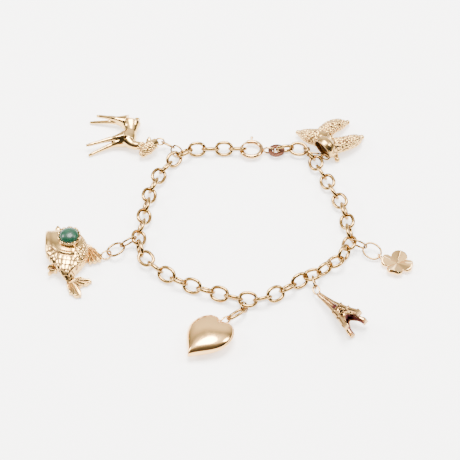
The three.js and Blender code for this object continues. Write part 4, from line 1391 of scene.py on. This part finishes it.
@dataclass
class FoolsCap(Charm):
    """The fool's cap: a thin hollow crown with curved horns, beaded above, that end in bells."""

    reach: float = 14.0
    mouth: float = 6.8
    depth: float = 3.5
    wall: float = 0.5
    horn: float = 3.9
    bell: float = 1.25
    axis: tuple[float, float, float] = (0.75, 0.62, 0.23)
    horns: tuple[Horn, ...] = (
        Horn(1.0, ((-0.01, 0.3, 0.04), (0.19, 0.63, -0.01), (0.4, 0.81, -0.09), (0.54, 0.9, -0.15))),
        Horn(1.0, ((0.24, 0.09, 0.01), (0.5, 0.22, -0.04), (0.71, 0.38, -0.11), (0.81, 0.49, -0.16))),
        Horn(1.15, ((-0.02, 0.24, 0.06), (-0.26, 0.4, -0.01), (-0.44, 0.58, -0.11))),
        Horn(0.7, ((0.22, 0.05, -0.08), (0.29, -0.07, -0.17))),
    )

    def bowl(self, inset: float, start: float) -> Form:
        """The crown's bowl, set in from its outer skin."""
        axis = unit(np.array(self.axis))
        across = unit(np.cross(UP, axis))
        upward = np.cross(axis, across)
        rings = []
        for depth in np.linspace(0, 1, 12):
            half = float(np.interp(depth, [0, 0.35, 0.7, 1], [0.5, 0.52, 0.46, 0.3]))
            centre = axis * (start if depth == 0 else depth * (self.depth - inset))
            radius = half * self.mouth - inset
            rings.append(ellipse(centre, across * radius, upward * radius, 48))
        return Form().skin(rings)

    def shape(self) -> bpy.types.Object:
        """The cap, its horns fused to its hollow crown."""
        form = self.bowl(0.0, 0.0)
        ends = []
        for horn in self.horns:
            path = [np.array(point) * self.reach for point in horn.points]
            root = horn.thick * self.horn / 2
            radii = [root * share for share in (1.12, 1.16, 1.14, 1.08, 0.96, 0.72, 0.34)]
            form.limb([path[0] * 0.6, *path], radii, flat=0.9, sides=36, steps=36)
            ends.append((path[0], path[-1], root))
        crown = [np.array(p) * self.reach for p in ((0.1, 0.16, 0.01), (0.23, 0.26, 0.01))]
        form.limb(crown, [self.horn * 0.5, self.horn * 0.36], sides=32, steps=8)
        item = form.object("cap_horned")
        fuse(item, 0.1, 3)
        carve(item, self.bowl(self.wall, -self.wall).object("cap_hollow"))
        self.detail(item, ends)
        bells = Form()
        for root_end, tip, _ in ends:
            outward = unit(tip - root_end)
            bells.ball(list(tip + outward * self.bell * 0.45), self.bell * 0.62, sides=24)
        knobs = bells.object("cap_bells")
        store(knobs.data, "recess", np.zeros(len(knobs.data.vertices)))
        join_objects(item, knobs)
        hang = unit(np.cross(np.array(self.axis), UP))
        swing = Matrix.Rotation(math.radians(40), 3, Vector(self.axis))
        shift = np.array(swing @ Vector(hang)) * (self.mouth - self.wall) / 2
        move_to(item.data, coordinates(item.data) - shift)
        return item

    def detail(self, item: bpy.types.Object, ends: list[tuple[np.ndarray, np.ndarray, float]]) -> None:
        """Beads the horns above their polished roots, and paints shade into the hollow crown and, fainter,
        over the rest of the unbeaded cap.

        Args:
            item: the cap.
            ends: each horn's root, tip and root radius.
        """
        points = coordinates(item.data)
        axis = unit(np.array(self.axis))
        deep = points @ axis
        aside = np.linalg.norm(points - np.outer(deep, axis), axis=1)
        inner = smooth_step(0.1, 0.5, self.mouth * 0.52 - self.wall * 0.6 - aside) * (deep > -0.2)
        inner *= (deep < self.depth - self.wall * 0.7)
        facing = normals(item.data) @ axis
        inner = inner * (facing < 0.3)
        shares = np.max([
            smooth_step(0.0, 0.04, segment_distance(points, root, tip)[1]) for root, tip, _ in ends
        ], axis=0)
        beyond = smooth_step(self.mouth * 0.5, self.mouth * 0.56, np.linalg.norm(points, axis=1))
        free = np.clip(1 - inner * 2, 0, 1) * beyond
        beads(item.data, shares * free, 0.95, 0.34, 5)
        marks = stored(item.data, "recess")
        # Painted shade: 0.9 inside the hollow crown and 0.3 over the unbeaded cap.
        store(item.data, "recess", marks * shares * free + inner * 0.9 + (1 - shares * free) * 0.3)


@dataclass(frozen=True)
class Limb:
    """One of the fawn's limbs: its points as shares of its height and thickness, and its radii."""

    points: tuple[tuple[float, float, float], ...]
    radii: tuple[float, ...]
    flat: float = 1.0


@dataclass
class Fawn(Charm):
    """The cast fawn, lying on its side, with a textured head."""

    height: float = 20.0
    thick: float = 5.0
    trunk: float = 5.4
    leg: float = 0.85
    hang_height: float = 2.6
    head: tuple[float, float, float] = (-0.125, -0.15, 0.5)
    limbs: tuple[Limb, ...] = (
        Limb(
            ((-0.38, 0.41, 0.5), (-0.37, 0.23, 0.5), (-0.41, 0.03, 0.48)),
            (0.36, 0.54, 0.4, 0.33, 0.42, 0.46), 0.8,
        ),
        Limb(((-0.4, 0.02, 0.48), (-0.33, -0.055, 0.48), (-0.18, -0.095, 0.52)), (0.36, 0.25, 0.22)),
        Limb(
            ((-0.21, -0.235, 0.28), (-0.125, -0.15, 0.5), (0.01, 0.0, 0.55)),
            (0.14, 0.24, 0.34, 0.3, 0.2), 0.9,
        ),
    )
    tail: Limb = Limb(((-0.34, 0.4, 0.56), (-0.28, 0.42, 0.6), (-0.25, 0.4, 0.6)), (), 0.6)
    ears: tuple[Limb, ...] = (
        Limb(((-0.1, -0.07, 0.6), (-0.09, 0.03, 0.8)), (0.6, 0.85, 0.2), 0.5),
        Limb(((-0.05, -0.09, 0.5), (0.04, -0.15, 0.62)), (0.6, 0.85, 0.2), 0.5),
    )
    legs: tuple[Limb, ...] = (
        Limb(((-0.43, 0.38, 0.44), (-0.595, 0.42, 0.4), (-0.75, 0.445, 0.28), (-0.985, 0.48, 0.09)), ()),
        Limb(((-0.43, 0.38, 0.6), (-0.6, 0.435, 0.6), (-0.73, 0.475, 0.56), (-0.88, 0.52, 0.48)), ()),
        Limb(((-0.45, 0.07, 0.56), (-0.625, 0.05, 0.52), (-0.8, -0.005, 0.5), (-1.0, -0.065, 0.44)), ()),
        Limb(((-0.46, 0.04, 0.4), (-0.63, -0.02, 0.3), (-0.8, -0.1, 0.2), (-0.965, -0.18, 0.09)), ()),
    )
    leg_radii: tuple[float, ...] = (2.5, 1.9, 1.3, 0.9, 0.9, 0.76, 0.66, 0.6, 0.62, 0.45)

    def path(self, limb: Limb) -> list[np.ndarray]:
        """A limb's points in millimetres."""
        unit_size = np.array([self.height, self.height, self.thick])
        return [np.array(point) * unit_size for point in limb.points]

    def shape(self) -> bpy.types.Object:
        """The fawn, its limbs fused into one skin."""
        form = Form()
        for limb in self.limbs:
            form.limb(self.path(limb), [r * self.trunk for r in limb.radii], limb.flat, sides=32)
        for limb in self.ears:
            form.limb(self.path(limb), list(limb.radii), limb.flat, sides=20)
        for limb in self.legs:
            form.limb(self.path(limb), [r * self.leg for r in self.leg_radii], sides=16, steps=40)
        form.limb(self.path(self.tail), [0.9, 0.75, 0.3], self.tail.flat)
        item = form.object("fawn")
        fuse(item, 0.09, 4)
        self.detail(item)
        move_to(item.data, coordinates(item.data) - UP * self.hang_height)
        return item

    def detail(self, item: bpy.types.Object) -> None:
        """Textures the head and marks the recesses.

        Args:
            item: the fawn.
        """
        points = coordinates(item.data)
        centre = np.array(self.head) * [self.height, self.height, self.thick]
        near = 1 - smooth_step(2.2, 3.1, np.linalg.norm(points - centre, axis=1))
        beads(item.data, near, 0.8, 0.26, 11)
        head_marks = stored(item.data, "recess")
        mark_recesses(item.data, 0.9, 1.6)
        store(item.data, "recess", stored(item.data, "recess") + head_marks * near)


@dataclass(frozen=True)
class FishRing:
    """A section of the fish's body: the ends of its height, its thickness and its middle, as shares."""

    back: tuple[float, float]
    belly: tuple[float, float]
    thick: float
    middle: float


@dataclass
class Fish(Charm):
    """The big-mouthed fish, lying on its side, with a cabochon eye in a toothed bezel."""

    length: float = 20.0
    thick: float = 6.0
    fin: float = 1.2
    hang_height: float = 1.6
    stone: float = 5.2
    stone_height: float = 2.2
    stone_gap: float = 0.04
    wall: float = 0.45
    bezel_height: float = 2.0
    teeth: int = 10
    eye: tuple[float, float] = (-0.425, 0.15)
    sections: tuple[FishRing, ...] = (
        FishRing((-0.765, 0.345), (-0.735, -0.05), 0.6, 0.5),
        FishRing((-0.735, 0.375), (-0.715, -0.09), 0.76, 0.5),
        FishRing((-0.645, 0.38), (-0.67, -0.16), 0.86, 0.5),
        FishRing((-0.47, 0.38), (-0.585, -0.26), 1.0, 0.5),
        FishRing((-0.275, 0.29), (-0.525, -0.34), 0.94, 0.48),
        FishRing((-0.185, 0.085), (-0.49, -0.38), 0.8, 0.42),
        FishRing((-0.205, -0.12), (-0.465, -0.41), 0.62, 0.34),
        FishRing((-0.325, -0.28), (-0.44, -0.425), 0.4, 0.25),
        FishRing((-0.35, -0.37), (-0.425, -0.44), 0.22, 0.2),
    )
    tail: tuple[tuple[float, float], ...] = (
        (-0.39, -0.37), (-0.285, -0.335), (-0.175, -0.35), (-0.095, -0.41), (-0.21, -0.47), (-0.265, -0.485),
        (-0.225, -0.66), (-0.34, -0.64), (-0.415, -0.56), (-0.44, -0.43),
    )
    back_fin: tuple[tuple[float, float], ...] = (
        (-0.29, 0.25), (-0.135, 0.18), (-0.015, 0.05), (0.01, -0.01), (-0.01, -0.07), (-0.225, -0.12),
    )
    belly_fin: tuple[tuple[float, float], ...] = (
        (-0.62, -0.12), (-0.73, -0.2), (-0.68, -0.23), (-0.695, -0.31), (-0.565, -0.26),
    )
    rib_root: tuple[float, float] = (-0.23, 0.2)
    tail_root: tuple[float, float] = (-0.39, -0.38)

    def rings(self, rows: list[FishRing], shrink: list[float], fine: int = 1) -> list[np.ndarray]:
        """Rings of the body, shrunk about their middles.

        Args:
            rows: the sections.
            shrink: each section's share of its size.
            fine: rings for each section.

        Returns:
            The rings.
        """
        table = np.array([[*row.back, *row.belly, row.thick, row.middle] for row in rows])
        routes = [Route(np.column_stack([table[:, k], table[:, k + 1], shrink])) for k in (0, 2, 4)]
        made = []
        for share in np.linspace(0, 1, (len(rows) - 1) * fine + 1):
            top, low, bulk = (route.at(float(share)) for route in routes)
            centre = np.array([*(top[:2] + low[:2]) / 2 * self.length, bulk[1] * self.thick])
            across = np.array([*(top[:2] - low[:2]) * self.length, 0.0]) * top[2] / 2
            made.append(ellipse(centre, across, UP * bulk[0] * self.thick * top[2] / 2, 64))
        return made

    def shape(self) -> bpy.types.Object:
        """The fish with its mouth, fins and bezel."""
        rows = list(self.sections)
        form = Form().skin(self.rings(rows, [1.0] * len(rows), 6))
        plates = ((self.tail, 0.1, 0.1), (self.back_fin, 0.5, 0.22), (self.belly_fin, 0.9, 0.1))
        for outline, low, cut in plates:
            edge = rounded(outline, self.length, cut)
            flat = np.column_stack([edge, np.zeros(len(edge))])
            form.skin([flat + UP * low, flat + UP * (low + self.fin)])
        size = [self.length, self.length, self.thick]
        spine = [np.array(p) * size for p in ((-0.6, 0.36, 0.5), (-0.615, 0.45, 0.62))]
        form.limb(spine, [0.95, 0.9, 0.2], flat=0.6)
        item = form.object("fish_cast")
        fuse(item, 0.11, 3)
        rim, cheek = rows[0], rows[2]
        before, inner = (
            FishRing((row.back[0] + by, row.back[1]), (row.belly[0] + by, row.belly[1]), thick, middle)
            for row, by, thick, middle in ((rim, -0.03, rim.thick, rim.middle), (cheek, 0.06, 0.86, 0.5))
        )
        mouth = self.rings([before, rim, cheek, inner], [0.82, 0.78, 0.62, 0.3], 4)
        carve(item, Form().skin(mouth).object("fish_mouth"))
        self.detail(item)
        join_objects(item, self.bezel())
        move_to(item.data, coordinates(item.data) - UP * self.hang_height)
        return item

    def detail(self, item: bpy.types.Object) -> None:
        """Raises lip, gill, scales, leafy back and fin ribs, and paints shade into the open mouth.

        Args:
            item: the cast body.
        """
        points = coordinates(item.data)
        facing = normals(item.data)
        flat = points[:, :2]
        eye = np.array(self.eye) * self.length
        front = np.array(self.sections[0].back) * self.length
        chin = np.array(self.sections[0].belly) * self.length
        behind = segment_distance(flat, front, chin)[0]
        lip = np.exp(-(behind / 0.62) ** 2)
        waist = np.exp(-((behind - 1.35) / 0.55) ** 2) * smooth_step(2.0, 2.6, points[:, 2])
        away = np.linalg.norm(flat - eye, axis=1)
        bearing = np.degrees(np.arctan2(flat[:, 1] - eye[1], flat[:, 0] - eye[0]))
        gill_side = smooth_step(-160, -145, bearing) * (1 - smooth_step(-76, -66, bearing))
        body = self.body_mask(points)
        gill = np.exp(-((away - 5.5) / 0.2) ** 2) * gill_side * body
        cover = np.exp(-((away - 5.05) / 0.35) ** 2) * gill_side * body
        scales, scale_cuts = self.scales(flat, eye)
        scaled = smooth_step(5.65, 5.85, away) * gill_side * body * smooth_step(-0.35, -0.05, facing[:, 2])
        leaf_side = smooth_step(-76, -66, bearing) * (1 - smooth_step(35, 60, bearing))
        leaf = smooth_step(3.4, 3.8, away) * leaf_side * body
        fins, fin_cuts = self.fin_ribs(flat)
        fins = fins * (1 - body)
        heights = lip * 0.14 - waist * 0.1 + cover * 0.2 - gill * 0.22 + scales * scaled * 0.32 + fins * 0.17
        inside = self.mouth_mask(points, facing)
        raise_relief(item.data, heights * (1 - inside))
        beads(item.data, leaf * (1 - inside), 1.0, 0.24, 3)
        mark_recesses(item.data, 0.45, 4.2)
        marks = stored(item.data, "recess")
        marks += gill * 0.9 + waist * 0.35 + scale_cuts * scaled * 0.8
        # inside * 0.95 is painted shade in the open mouth.
        marks += fin_cuts * (1 - body) * 0.4 + inside * 0.95
        store(item.data, "recess", marks)

    def body_mask(self, points: np.ndarray) -> np.ndarray:
        """1 on the rounded body, 0 on the fins."""
        backs = [row.back for row in self.sections]
        bellies = [row.belly for row in self.sections]
        outline = np.array(backs + bellies[::-1]) * self.length
        closed = np.vstack([outline, outline[:1]])
        flat = points[:, :2]
        within = np.zeros(len(flat), bool)
        for (x0, y0), (x1, y1) in zip(closed, closed[1:]):
            spans = (y0 > flat[:, 1]) != (y1 > flat[:, 1])
            crossing = x0 + (x1 - x0) * (flat[:, 1] - y0) / (y1 - y0 if y1 != y0 else 1.0)
            within ^= spans & (flat[:, 0] < crossing)
        edge = path_distance(flat, closed)
        inside = smooth_step(-0.1, 0.35, np.where(within, edge, -edge))
        return np.maximum(inside, smooth_step(2.1, 2.35, points[:, 2]))

    def mouth_mask(self, points: np.ndarray, facing: np.ndarray) -> np.ndarray:
        """1 inside the open mouth."""
        rim = self.sections[0]
        top, low = (np.array(p) * self.length for p in (rim.back, rim.belly))
        middle = (top + low) / 2
        along = unit(top - low)
        inward = np.array([along[1], -along[0]])
        inward = inward if inward[0] > 0 else -inward
        across = (points[:, :2] - middle) @ along / (np.linalg.norm(top - low) / 2)
        upward = (points[:, 2] - rim.middle * self.thick) / (rim.thick * self.thick / 2)
        deep = (points[:, :2] - middle) @ inward
        within = np.hypot(across, upward)
        hollow = (1 - smooth_step(0.8, 0.86, within)) * (deep < 4.4)
        open_side = facing[:, :2] @ inward < 0.35
        return hollow * open_side

    def scales(self, flat: np.ndarray, eye: np.ndarray) -> tuple[np.ndarray, np.ndarray]:
        """Rows of overlapping scales about the eye: their height and the cuts between them."""
        offset = flat - eye
        rows = (np.linalg.norm(offset, axis=1) - 5.7) / 1.25
        turn = np.arctan2(offset[:, 1], offset[:, 0])
        row = np.floor(rows)
        shift = (row % 2) * 0.5
        count = turn * (row * 1.25 + 6.3) / 1.45 + shift
        u = (count - np.floor(count)) * 2 - 1
        v = rows - row
        bow = v - 0.55 * (1 - np.sqrt(np.clip(1 - u * u, 0, 1)))
        uneven = 0.75 + 0.35 * np.sin(row * 12.9 + np.floor(count) * 7.3)
        height = np.clip(bow, 0, 1) ** 0.8 * uneven
        cuts = np.exp(-((np.abs(u) - 1) / 0.12) ** 2) + np.exp(-(np.clip(bow, -1, 1) / 0.1) ** 2)
        return height - 0.4, np.clip(cuts, 0, 1)

    def fin_ribs(self, flat: np.ndarray) -> tuple[np.ndarray, np.ndarray]:
        """Ribs that fan out over the fins: their height and the cuts between them."""
        tail_root = np.array(self.tail_root) * self.length
        away = flat - tail_root
        turn = np.degrees(np.arctan2(away[:, 1], away[:, 0]))
        tail = np.linalg.norm(flat - np.array([-0.27, -0.47]) * self.length, axis=1) < 4.6
        wave = np.where(tail, np.cos(np.radians(turn * 20)), 0.0)
        back_root = np.array(self.rib_root) * self.length
        spread = flat - back_root
        bearing = np.degrees(np.arctan2(spread[:, 1], spread[:, 0]))
        back = (flat[:, 0] > -0.3 * self.length) & (flat[:, 1] > -0.16 * self.length) & ~tail
        wave = np.where(back, np.cos(np.radians(bearing * 30 + 90)), wave)
        belly = (flat[:, 0] < -0.55 * self.length) & (flat[:, 1] < -0.1 * self.length)
        wave = np.where(belly, np.cos(flat[:, 1] * 5.0 + flat[:, 0] * 1.5), wave)
        return wave, smooth_step(0.35, 0.95, -wave)

    def bezel(self) -> bpy.types.Object:
        """The bezel: a thin flared wall with a row of teeth bent over the stone."""
        outer = self.stone / 2 + self.stone_gap + self.wall
        inner = self.stone / 2 + self.stone_gap
        foot = self.thick - self.bezel_height / 2
        top = foot + self.bezel_height
        steps = self.teeth * 16
        turn = np.arange(steps) / steps * 2 * math.pi
        tooth = np.abs(np.sin(turn * self.teeth / 2)) ** 0.7
        rim = top - 0.5 * (1 - tooth)
        ray = np.column_stack([np.cos(turn), np.sin(turn)])
        rows = [
            (outer * 0.86, foot), (outer * 0.95, foot + 0.6), (outer, foot + 1.1), (outer * 0.995, None),
            (inner + 0.12, None), (inner + 0.02, self.thick + 0.7),
            (inner + 0.02, self.thick - self.stone_gap), (0.3, self.thick - self.stone_gap),
        ]
        centre = np.array([*self.eye]) * self.length
        rings = []
        for radius, high in rows:
            swell = np.full(steps, radius)
            if high is None and radius > inner + 0.2:
                swell = swell + 0.05 * tooth
            level = rim if high is None else np.full(steps, high)
            rings.append(np.column_stack([centre + ray * swell[:, None], level]))
        item = Form().skin(rings).object("fish_bezel")
        points = coordinates(item.data)
        turns = np.arctan2(points[:, 1] - centre[1], points[:, 0] - centre[0])
        gap = 1 - np.abs(np.sin(turns * self.teeth / 2))
        high = smooth_step(foot + 0.7, top, points[:, 2])
        store(item.data, "recess", gap * high * 0.8)
        return item

    def cabochon(self, place: np.ndarray) -> None:
        """The green stone, domed above its girdle.

        Args:
            place: the place of the fish's origin.
        """
        radius = self.stone / 2
        girdle = self.thick + self.bezel_height / 2 - 0.35
        crown = self.stone_height - (girdle - self.thick)
        rows = [(0.4, self.thick), (0.98, self.thick), (1.0, self.thick + 0.05), (1.0, girdle)]
        rows += [(math.cos(a), girdle + crown * math.sin(a)) for a in np.linspace(0.1, 1.54, 16)]
        centre = np.array([*self.eye]) * self.length
        rings = [
            ellipse(np.array([*centre, high]), *(np.eye(3)[:2] * radius * share), 64)
            for share, high in rows
        ]
        item = Form().skin(rings).object("fish_eye_stone")
        move_to(item.data, coordinates(item.data) + place - UP * self.hang_height)
        placed(item, Slot.STONE, CABOCHON.material(), Body.ROOT, "fish_stone")

    def build(self, rings: JumpRings, tree: LoopTree) -> np.ndarray:
        """Makes the fish and its stone.

        Args:
            rings: the jump rings.
            tree: the tree of wire loops.

        Returns:
            The place of the body's origin.
        """
        place = super().build(rings, tree)
        self.cabochon(place)
        return place


@dataclass
class Clasp:
    """The spring ring clasp: a round tube with a slot, the sliding bolt and its thumb lug."""

    radius: float = 2.9
    tube: float = 1.3
    bore: float = 0.9
    gap: tuple[float, float] = (112.0, 168.0)
    bolt: float = 0.66
    bolt_tail: float = 40.0
    travel: float = 50.0
    bolt_gap: float = 0.1
    lug_angle: float = 88.0
    lug_reach: float = 1.25
    lug_wire: float = 0.5
    eyelet: LoopSize = LoopSize(3.5, 2.7, 0.56)
    heading: float = -5.0

    def arc(self, diameter: float, start: float, end: float, sides: int = 40) -> Form:
        """A round bar bent along the clasp's circle.

        Args:
            diameter: the bar's.
            start: the angle that it starts at.
            end: the angle that it ends at.
            sides: faces round it.

        Returns:
            The bar.
        """
        rings = []
        for turn in np.linspace(start, end, max(8, int(abs(end - start) / 4))):
            outward = heading_vector(float(turn))
            middle = outward * self.radius
            rings.append(ellipse(middle, outward * diameter / 2, UP * diameter / 2, sides))
        return Form().skin(rings)

    def build(self, tree: LoopTree) -> None:
        """Makes the ring and the bolt.

        Args:
            tree: the tree of wire loops.
        """
        self.ring(tree)
        self.slider()

    def ring(self, tree: LoopTree) -> None:
        """The tube with its bore, slot and soldered eyelet.

        Args:
            tree: the tree of wire loops.
        """
        item = self.arc(self.tube, self.gap[1] - 360, self.gap[0]).object("clasp_tube")
        spare = math.degrees(self.bolt_gap / self.radius)
        bore = self.arc(self.bore, self.bolt_tail - self.travel - spare, self.gap[0] + 5).object("clasp_bore")
        width = self.lug_wire / 2 + self.bolt_gap
        end = math.degrees(width / self.radius)
        slot_rings = []
        for turn in np.linspace(self.lug_angle - self.travel - end, self.lug_angle + end, 16):
            outward = heading_vector(float(turn))
            slot_rings.append(np.array([
                outward * (self.radius + out * self.tube) + UP * high * width
                for out, high in ((0, -1), (1, -1), (1, 1), (0, 1))
            ]))
        slot = Form().skin(slot_rings).object("clasp_slot")
        carve(item, bore, slot)
        soften(item, 0.05)
        reach = self.radius + self.tube / 2 + (self.eyelet.length - self.eyelet.wire) / 2
        bearing = heading_vector(self.heading)
        seat = (bearing * reach, loop_axes(bearing, 0.0))
        join_objects(item, tree.loops("clasp_eyelet", [seat], self.eyelet, CLASP_GOLD.material()))
        move_to(item.data, coordinates(item.data) + np.array(CLASP_PLACE))
        placed(item, Slot.GOLD, CLASP_GOLD.material(), Body.ROOT, "clasp_ring")

    def slider(self) -> None:
        """The bolt with its stem and ribbed thumb lug."""
        tip = self.gap[1] - math.degrees(self.bolt_gap / self.radius)
        form = self.arc(self.bolt, self.bolt_tail, tip, 32)
        outward = heading_vector(self.lug_angle)
        side = np.cross(UP, outward)
        wall = self.radius + self.tube / 2
        head = wall + self.lug_reach
        profile = [
            (self.radius, 0.25), (wall + 0.55, 0.25), (wall + 0.72, 0.3), (wall + 0.86, 0.42),
            (head - 0.2, 0.45), (head + 0.02, 0.4), (head + 0.15, 0.26), (head + 0.21, 0.08),
        ]
        form.skin([ellipse(outward * place, side * radius, UP * radius, 28) for place, radius in profile])
        item = form.object("clasp_slider")
        move_to(item.data, coordinates(item.data) + np.array(CLASP_PLACE))
        placed(item, Slot.GOLD, CLASP_GOLD.material(), Body.BOLT, "clasp_bolt")


def soften(item: bpy.types.Object, width: float) -> None:
    """Bevels an object's sharp edges.

    Args:
        item: the object, in millimetres.
        width: the bevel's width.
    """
    bevel = item.modifiers.new("bevel", "BEVEL")
    bevel.width = width
    bevel.segments = 2
    bevel.limit_method = "ANGLE"
    bevel.angle_limit = math.radians(40)
    evaluated(item)


@dataclass
class Tag:
    """The bare hallmark tag: a flat oval washer of rose gold."""

    length: float = 4.8
    width: float = 4.4
    thick: float = 0.9
    hole: tuple[float, float] = (2.5, 2.2)
    bevel: float = 0.15

    def build(self, chain: Chain) -> None:
        """Makes the tag.

        Args:
            chain: the chain, whose sizes place it.
        """
        outer = np.array([self.length, self.width]) / 2
        inner = np.array(self.hole) / 2
        half = self.thick / 2
        rows = []
        for edge, sign in ((outer, 1), (inner, -1)):
            for turn in np.linspace(-90, 90, 9):
                out, up = math.cos(math.radians(turn)), math.sin(math.radians(turn))
                swell = edge - sign * self.bevel * (1 - out)
                high = (half - self.bevel) * math.copysign(min(1, abs(turn) * 90), turn) + self.bevel * up
                rows.append((swell, high * sign))
        turn = np.arange(80) / 80 * 2 * math.pi
        ray = np.column_stack([np.cos(turn), np.sin(turn)])
        rings = [np.column_stack([ray * reach, np.full(80, high)]) for reach, high in rows]
        item = Form().skin(rings, closed=True).object("tag_washer")
        centre, bearing = chain.tag_place()
        move_to(item.data, coordinates(item.data) @ loop_axes(bearing, 90.0).T + centre)
        placed(item, Slot.ROSE, TAG_GOLD.material(), Body.ROOT, "tag")


def main() -> None:
    """Builds every piece in order."""
    logging.basicConfig(level=logging.INFO, format="%(name)s: %(message)s")
    tree = LoopTree()
    chain = Chain()
    chain.build(tree)
    rings = JumpRings()
    rings.build(tree)
    Clasp().build(tree)
    Tag().build(chain)
    charms = (
        Heart(
            "heart", "heart_link", LoopSize(3.61, 2.2, 0.5), -142, 29,
            heading=-129, roll=6, finish=HEART_GOLD,
        ),
        Clover(
            "clover", "clover_ring", LoopSize(2.6, 2.1, 0.46), -44, 13,
            heading=-18, roll=-8, finish=CLOVER_GOLD,
        ),
        Tower(
            "tower", "tower_ring", LoopSize(3.0, 2.2, 0.5), -70, -58,
            heading=-52, pitch=9, roll=22, finish=TOWER_GOLD,
        ),
        FoolsCap("cap", "cap_ring", LoopSize(2.86, 2.0, 0.5), -20, -66),
        Fawn("deer", "deer_link", LoopSize(2.9, 2.3, 0.5), 176, 50),
        Fish("fish", "fish_jump_ring", LoopSize(3.27, 2.8, 0.5), -155, 26),
    )
    for charm in charms:
        charm.build(rings, tree)
    Studio().build()


@dataclass
class Studio:
    """The pale floor, the soft light and the camera."""

    elevation: float = 50.0
    distance: float = 390.0
    focal: float = 1420.0
    frame_width: float = 460.0
    glow: float = 1.6
    dome_strength: float = 3.4
    side_share: float = 0.12
    dome: tuple[tuple[float, float], ...] = (
        (0, 0.55), (32, 0.8), (44, 0.5), (50, 0.12), (57, 0.6), (66, 1.0), (92, 1.0),
        (104, 0.16), (130, 0.04), (180, 0.04),
    )

    def build(self) -> None:
        """Sets up the floor, the lights and the camera."""
        self.floor()
        self.sky()
        self.softboxes()
        self.camera()

    def floor(self) -> None:
        """A plain white floor."""
        bpy.ops.mesh.primitive_plane_add(size=3.0)
        floor = bpy.context.object
        floor.name = "floor"
        shader = Shader("floor_white")
        shader.surface({
            "Base Color": (0.95, 0.94, 0.94),
            "Roughness": 0.6,
            "Specular IOR Level": 0.2,
            "Emission Color": (1.0, 0.98, 0.97),
            "Emission Strength": self.glow,
        })
        floor.data.materials.append(shader.material)

    def sky(self) -> None:
        """A bright dome that darkens at the horizon and at both sides."""
        world = bpy.data.worlds.new("dome")
        bpy.context.scene.world = world
        world.use_nodes = True
        tree = world.node_tree
        where = add_node(tree, "ShaderNodeTexCoord", {}, {}).outputs["Generated"]
        parts = add_node(tree, "ShaderNodeSeparateXYZ", {}, {0: where}).outputs
        turn = add_node(tree, "ShaderNodeMath", {"operation": "ARCTAN2"}, {0: parts["Z"], 1: parts["Y"]})
        share = add_node(tree, "ShaderNodeMath", {"operation": "DIVIDE"}, {0: turn.outputs[0], 1: math.pi})
        ramp = add_node(tree, "ShaderNodeValToRGB", {}, {0: share.outputs[0]})
        stops = ramp.color_ramp.elements
        while len(stops) < len(self.dome):
            stops.new(0.5)
        for element, (place, value) in zip(stops, self.dome):
            element.position = place / 180
            element.color = (value, value * 0.97, value * 0.92, 1)
        ramp.color_ramp.interpolation = "B_SPLINE"
        aside = add_node(tree, "ShaderNodeMath", {"operation": "ABSOLUTE"}, {0: parts["X"]})
        side = add_node(tree, "ShaderNodeMapRange", {}, {
            "Value": aside.outputs[0], "From Min": 0.35, "From Max": 0.8,
            "To Min": 1.0, "To Max": self.side_share,
        })
        dim = add_node(tree, "ShaderNodeVectorMath", {"operation": "SCALE"}, {
            0: ramp.outputs[0], "Scale": side.outputs[0],
        })
        back = tree.nodes["Background"].inputs
        feed(tree, back["Color"], dim.outputs[0])
        back["Strength"].default_value = self.dome_strength

    def softboxes(self) -> None:
        """Round softboxes for the highlights, each aimed at the bracelet."""
        rows = (
            ("softbox_top", (0.0, 0.1, 0.6), 0.36, 13.0),
            ("softbox_left", (-0.55, 0.1, 0.4), 0.22, 5.0),
            ("softbox_right", (0.5, 0.05, 0.5), 0.2, 4.0),
        )
        for name, place, size, power in rows:
            light = bpy.data.lights.new(name, "AREA")
            light.shape = "DISK"
            light.size = size
            light.energy = power
            light.color = (1.0, 0.985, 0.96)
            lamp = bpy.data.objects.new(name, light)
            lamp.location = place
            lamp.rotation_euler = (-Vector(place)).to_track_quat("-Z", "Y").to_euler()
            bpy.context.scene.collection.objects.link(lamp)

    def camera(self) -> None:
        """The camera at the photograph's viewing angle."""
        lens = bpy.data.cameras.new("camera")
        eye = bpy.data.objects.new("camera", lens)
        lens.sensor_width = 36.0
        lens.lens = self.focal / self.frame_width * lens.sensor_width
        lens.clip_start = 0.01
        angle = math.radians(self.elevation)
        aim = Vector(TABLE_SHIFT) * MM
        eye.location = aim + Vector((0, -math.cos(angle), math.sin(angle))) * self.distance * MM
        eye.rotation_euler = (aim - eye.location).to_track_quat("-Z", "Y").to_euler()
        bpy.context.scene.collection.objects.link(eye)
        bpy.context.scene.camera = eye


if __name__ == "__main__":
    main()
